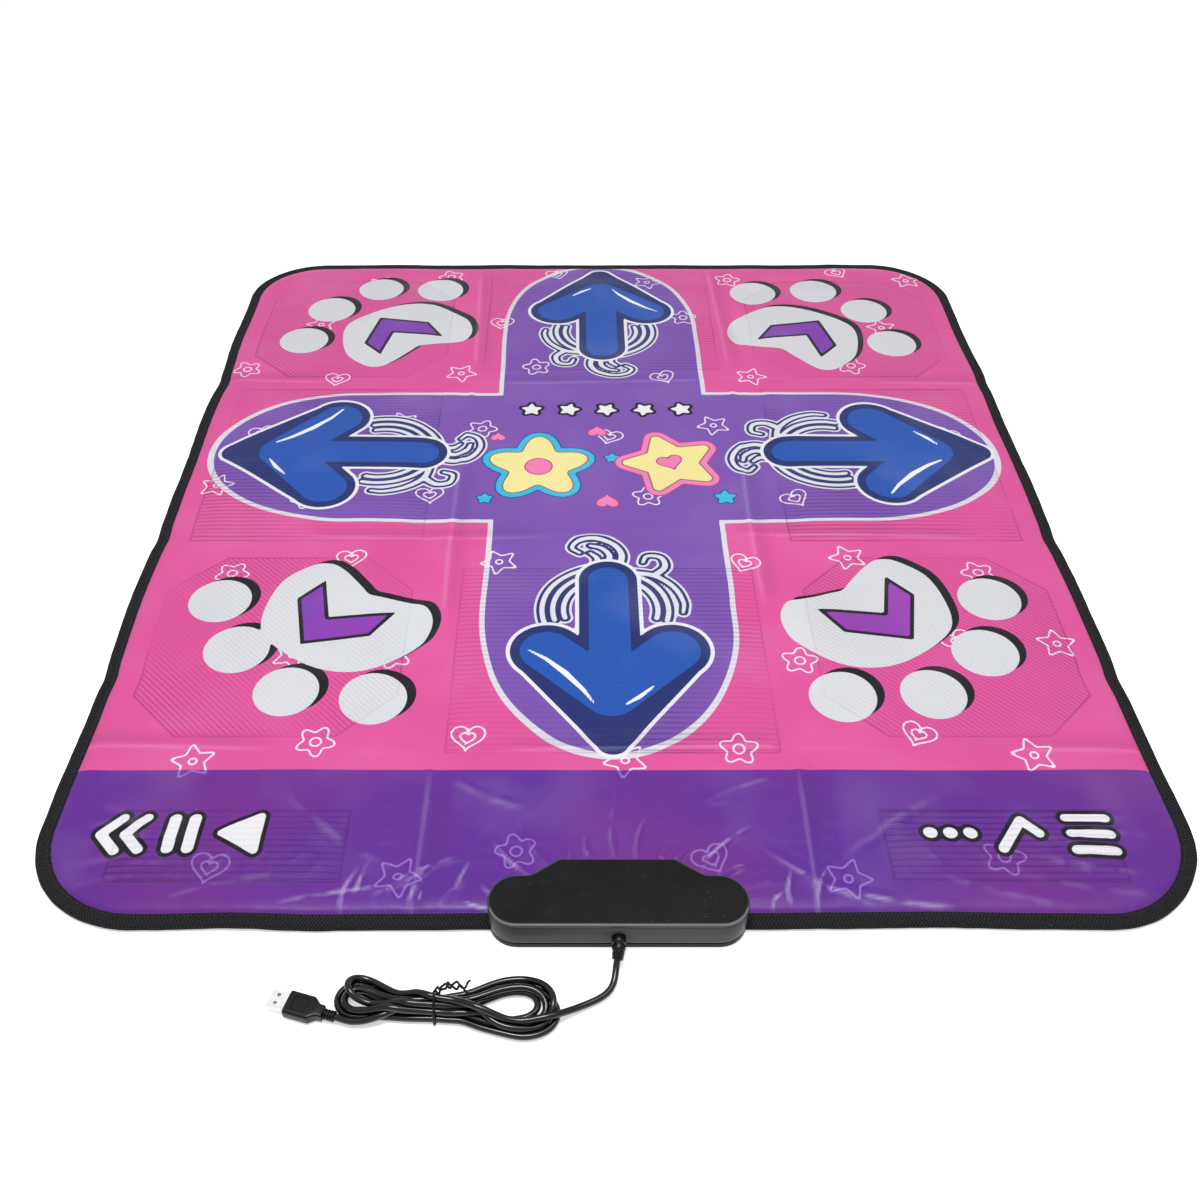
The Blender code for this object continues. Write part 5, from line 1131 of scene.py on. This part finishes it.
def makeSatinAbs():
    # Moulded ABS with a fine satin grain, edges glossier and painted lighter as a painted highlight, hairline scratches
    # and a little dust on top
    finish, add, shade, coords = newMaterial("satinAbs", "#0a0a0b", 0.3, Specular_IOR_Level=0.15)
    grain = add("TexNoise", coords, 2600.0, 2.0)
    soft = add("TexNoise", coords, 45.0, 3.0)
    height = add("MULTIPLY_ADD", soft, 3.0, grain)
    up = add("SeparateXYZ", add("NewGeometry").outputs["Normal"]).outputs[2]
    level = add("MapRange", up, 0.7, 0.95)
    specks = add("MapRange", add("TexNoise", coords, 820.0, 1.0), 0.74, 0.77, 0.0, 0.3)
    patches = add("MapRange", add("TexNoise", coords, 40.0), 0.5, 0.62)
    long = add("Mapping", coords, Rotation=(0, 0, 0.7), Scale=(60, 900, 1))
    scratch = add("MapRange", add("TexNoise", long, 1.0, 0.0), 0.8, 0.84, 0.0, 0.05)
    dust = add("MAXIMUM", add("MULTIPLY", specks, patches), scratch)
    dust = add("MULTIPLY", dust, level)
    tone = overlay(add, soft, "#0a0a0c", "#0e0e10")
    polish = add("Attribute", attribute_name="polish").outputs["Fac"]
    # Painted highlight: the edge rings painted light grey, and made glossier below
    tone = overlay(add, polish, tone, "#84858a")
    colour = overlay(add, dust, tone, "#a9a7a2")
    gloss = add("MapRange", soft, 0.3, 0.7, 0.3, 0.4)
    rough = add("MULTIPLY_ADD", polish, -0.12, gloss)
    shade(Base_Color=colour, Roughness=rough, Normal=add("Bump", Height=height, Distance=0.00003, Strength=0.5))
    return finish


# Finishes with a soft cloudy grain: colour, roughness, grain scale, depth of the grain, then any other sockets
def makeFinish(name, colour, rough, scale, depth=0.00005, metallic=0.0, **sockets):
    finish, add, shade, coords = newMaterial(name, colour, rough, metallic, **sockets)
    cloud = add("TexNoise", coords, float(scale), 3.0)
    base = linear(colour)
    tone = overlay(add, cloud, tuple((c * 0.82 for c in base[:3])) + (1,), base)
    gloss = add("MapRange", cloud, 0.3, 0.7, rough - 0.05, rough + 0.06)
    shade(Base_Color=tone, Roughness=gloss, Normal=add("Bump", Height=cloud, Distance=depth, Strength=0.5))
    return finish


def makeBaseCloth():
    # Flocked base cloth: the darkest, softest black here, with a knit that breaks up the light
    finish, add, shade, coords = newMaterial("baseCloth", "#121214", 0.9, Sheen_Weight=0.2)
    cloth = knit(add, coords, 550.0, 1.0, 1.0)
    # Painted highlight on the knit's raised loops, painted shade between them
    tone = overlay(add, cloth, "#0b0b0d", "#1d1d21")
    shade(Base_Color=tone, Normal=add("Bump", Height=cloth, Distance=0.00015, Strength=0.8))
    return finish


makeStage()
print("stage ready")
pvc = makeGlossyPvc()
route = settledRoute()
cord = tubeCurve("cord", route, cordSize["diameter"] / 2, pvc, 6, ("cable_lead", "cable_hank", "cable_tail"),
                 "black_pvc")
# Harder PVC than the cord's: satin, so the boot and the grip read dark grey
mouldedPvc = makeFinish("mouldedPvc", "#0a0a0b", 0.3, 1300, 0.00006, Specular_IOR_Level=0.25)
boot = makeRelief(mouldedPvc)
grip, ribs = makePlug(mouldedPvc)
# Plastic-covered wire: a little duller than the cord that it holds
wire = makeTie(route, makeFinish("tiePlastic", "#0a0a0b", 0.35, 1500, Specular_IOR_Level=0.25))
print("cord ready")
makeCover(makePrintedVinyl())
print("cover ready")
makeBinding(makeWebbing())
# Spun thread: slightly lighter than the webbing, so that the row reads
makeStitches(makeFinish("blackThread", "#19181b", 0.75, 3000, 0.0001))
print("binding ready")
# Rubber dots: smoother than the cloth that they are printed on
makeUnderside(makeBaseCloth(), makeFinish("dotRubber", "#232327", 0.6, 500))
print("underside ready")
satin = makeSatinAbs()
makeBoxTop(satin)
# The pieces inside and under, each in its own stuff
finishes = [(["box_lower_shell"], satin), (["tail_clamp_bar"], makeFinish("clampPlastic", "#202022", 0.5, 400)),
            (["base_foam", "spacer_foam"], makeFinish("closedCellFoam", "#e9e8e4", 0.9, 900, 0.0003)),
            (["lower_film", "upper_film"], makeFinish("clearFilm", "#c9ced3", 0.25, 60, 0.00003, Coat_Weight=0.3)),
            (["contact_" + name[6:] for name in zones], makeFinish("silverInk", "#9c9da0", 0.45, 700, 0.00003)),
            (["circuit_board"], makeFinish("solderMask", "#1c6b3a", 0.4, 300, 0.00003, Coat_Weight=0.3)),
            (["chip_cover", "capacitor_1", "capacitor_2"], makeFinish("epoxy", "#101012", 0.28, 200)),
            (["pressure_strip"], makeFinish("softRubber", "#1e1e1f", 0.8, 900)),
            ([f"case_screw_{k}" for k in (1, 2, 3, 4)] + ["board_screw_1", "board_screw_2", "resonator"],
             makeFinish("zincPlate", "#b9bbc0", 0.3, 700, 0.00002, 1.0)),
            (["usb_shell"], makeFinish("nickelPlate", "#f8f9fa", 0.22, 500, 0.00002, 0.35)),
            ([f"usb_contact_{k}" for k in (1, 2, 3, 4)], makeFinish("goldFlash", "#e6c067", 0.25, 900, 0.00002, 1.0)),
            (["usb_tongue"], makeFinish("tonguePlastic", "#e9e9e7", 0.45, 600)),
            ([f"lead_wire_{k}" for k in (1, 2, 3, 4)], makeFinish("wireSkin", "#b3262b", 0.4, 500))]
for names, finish in finishes:
    for name in names:
        for slot in bpy.data.objects[name].material_slots:
            slot.material = finish
print("finishes ready")
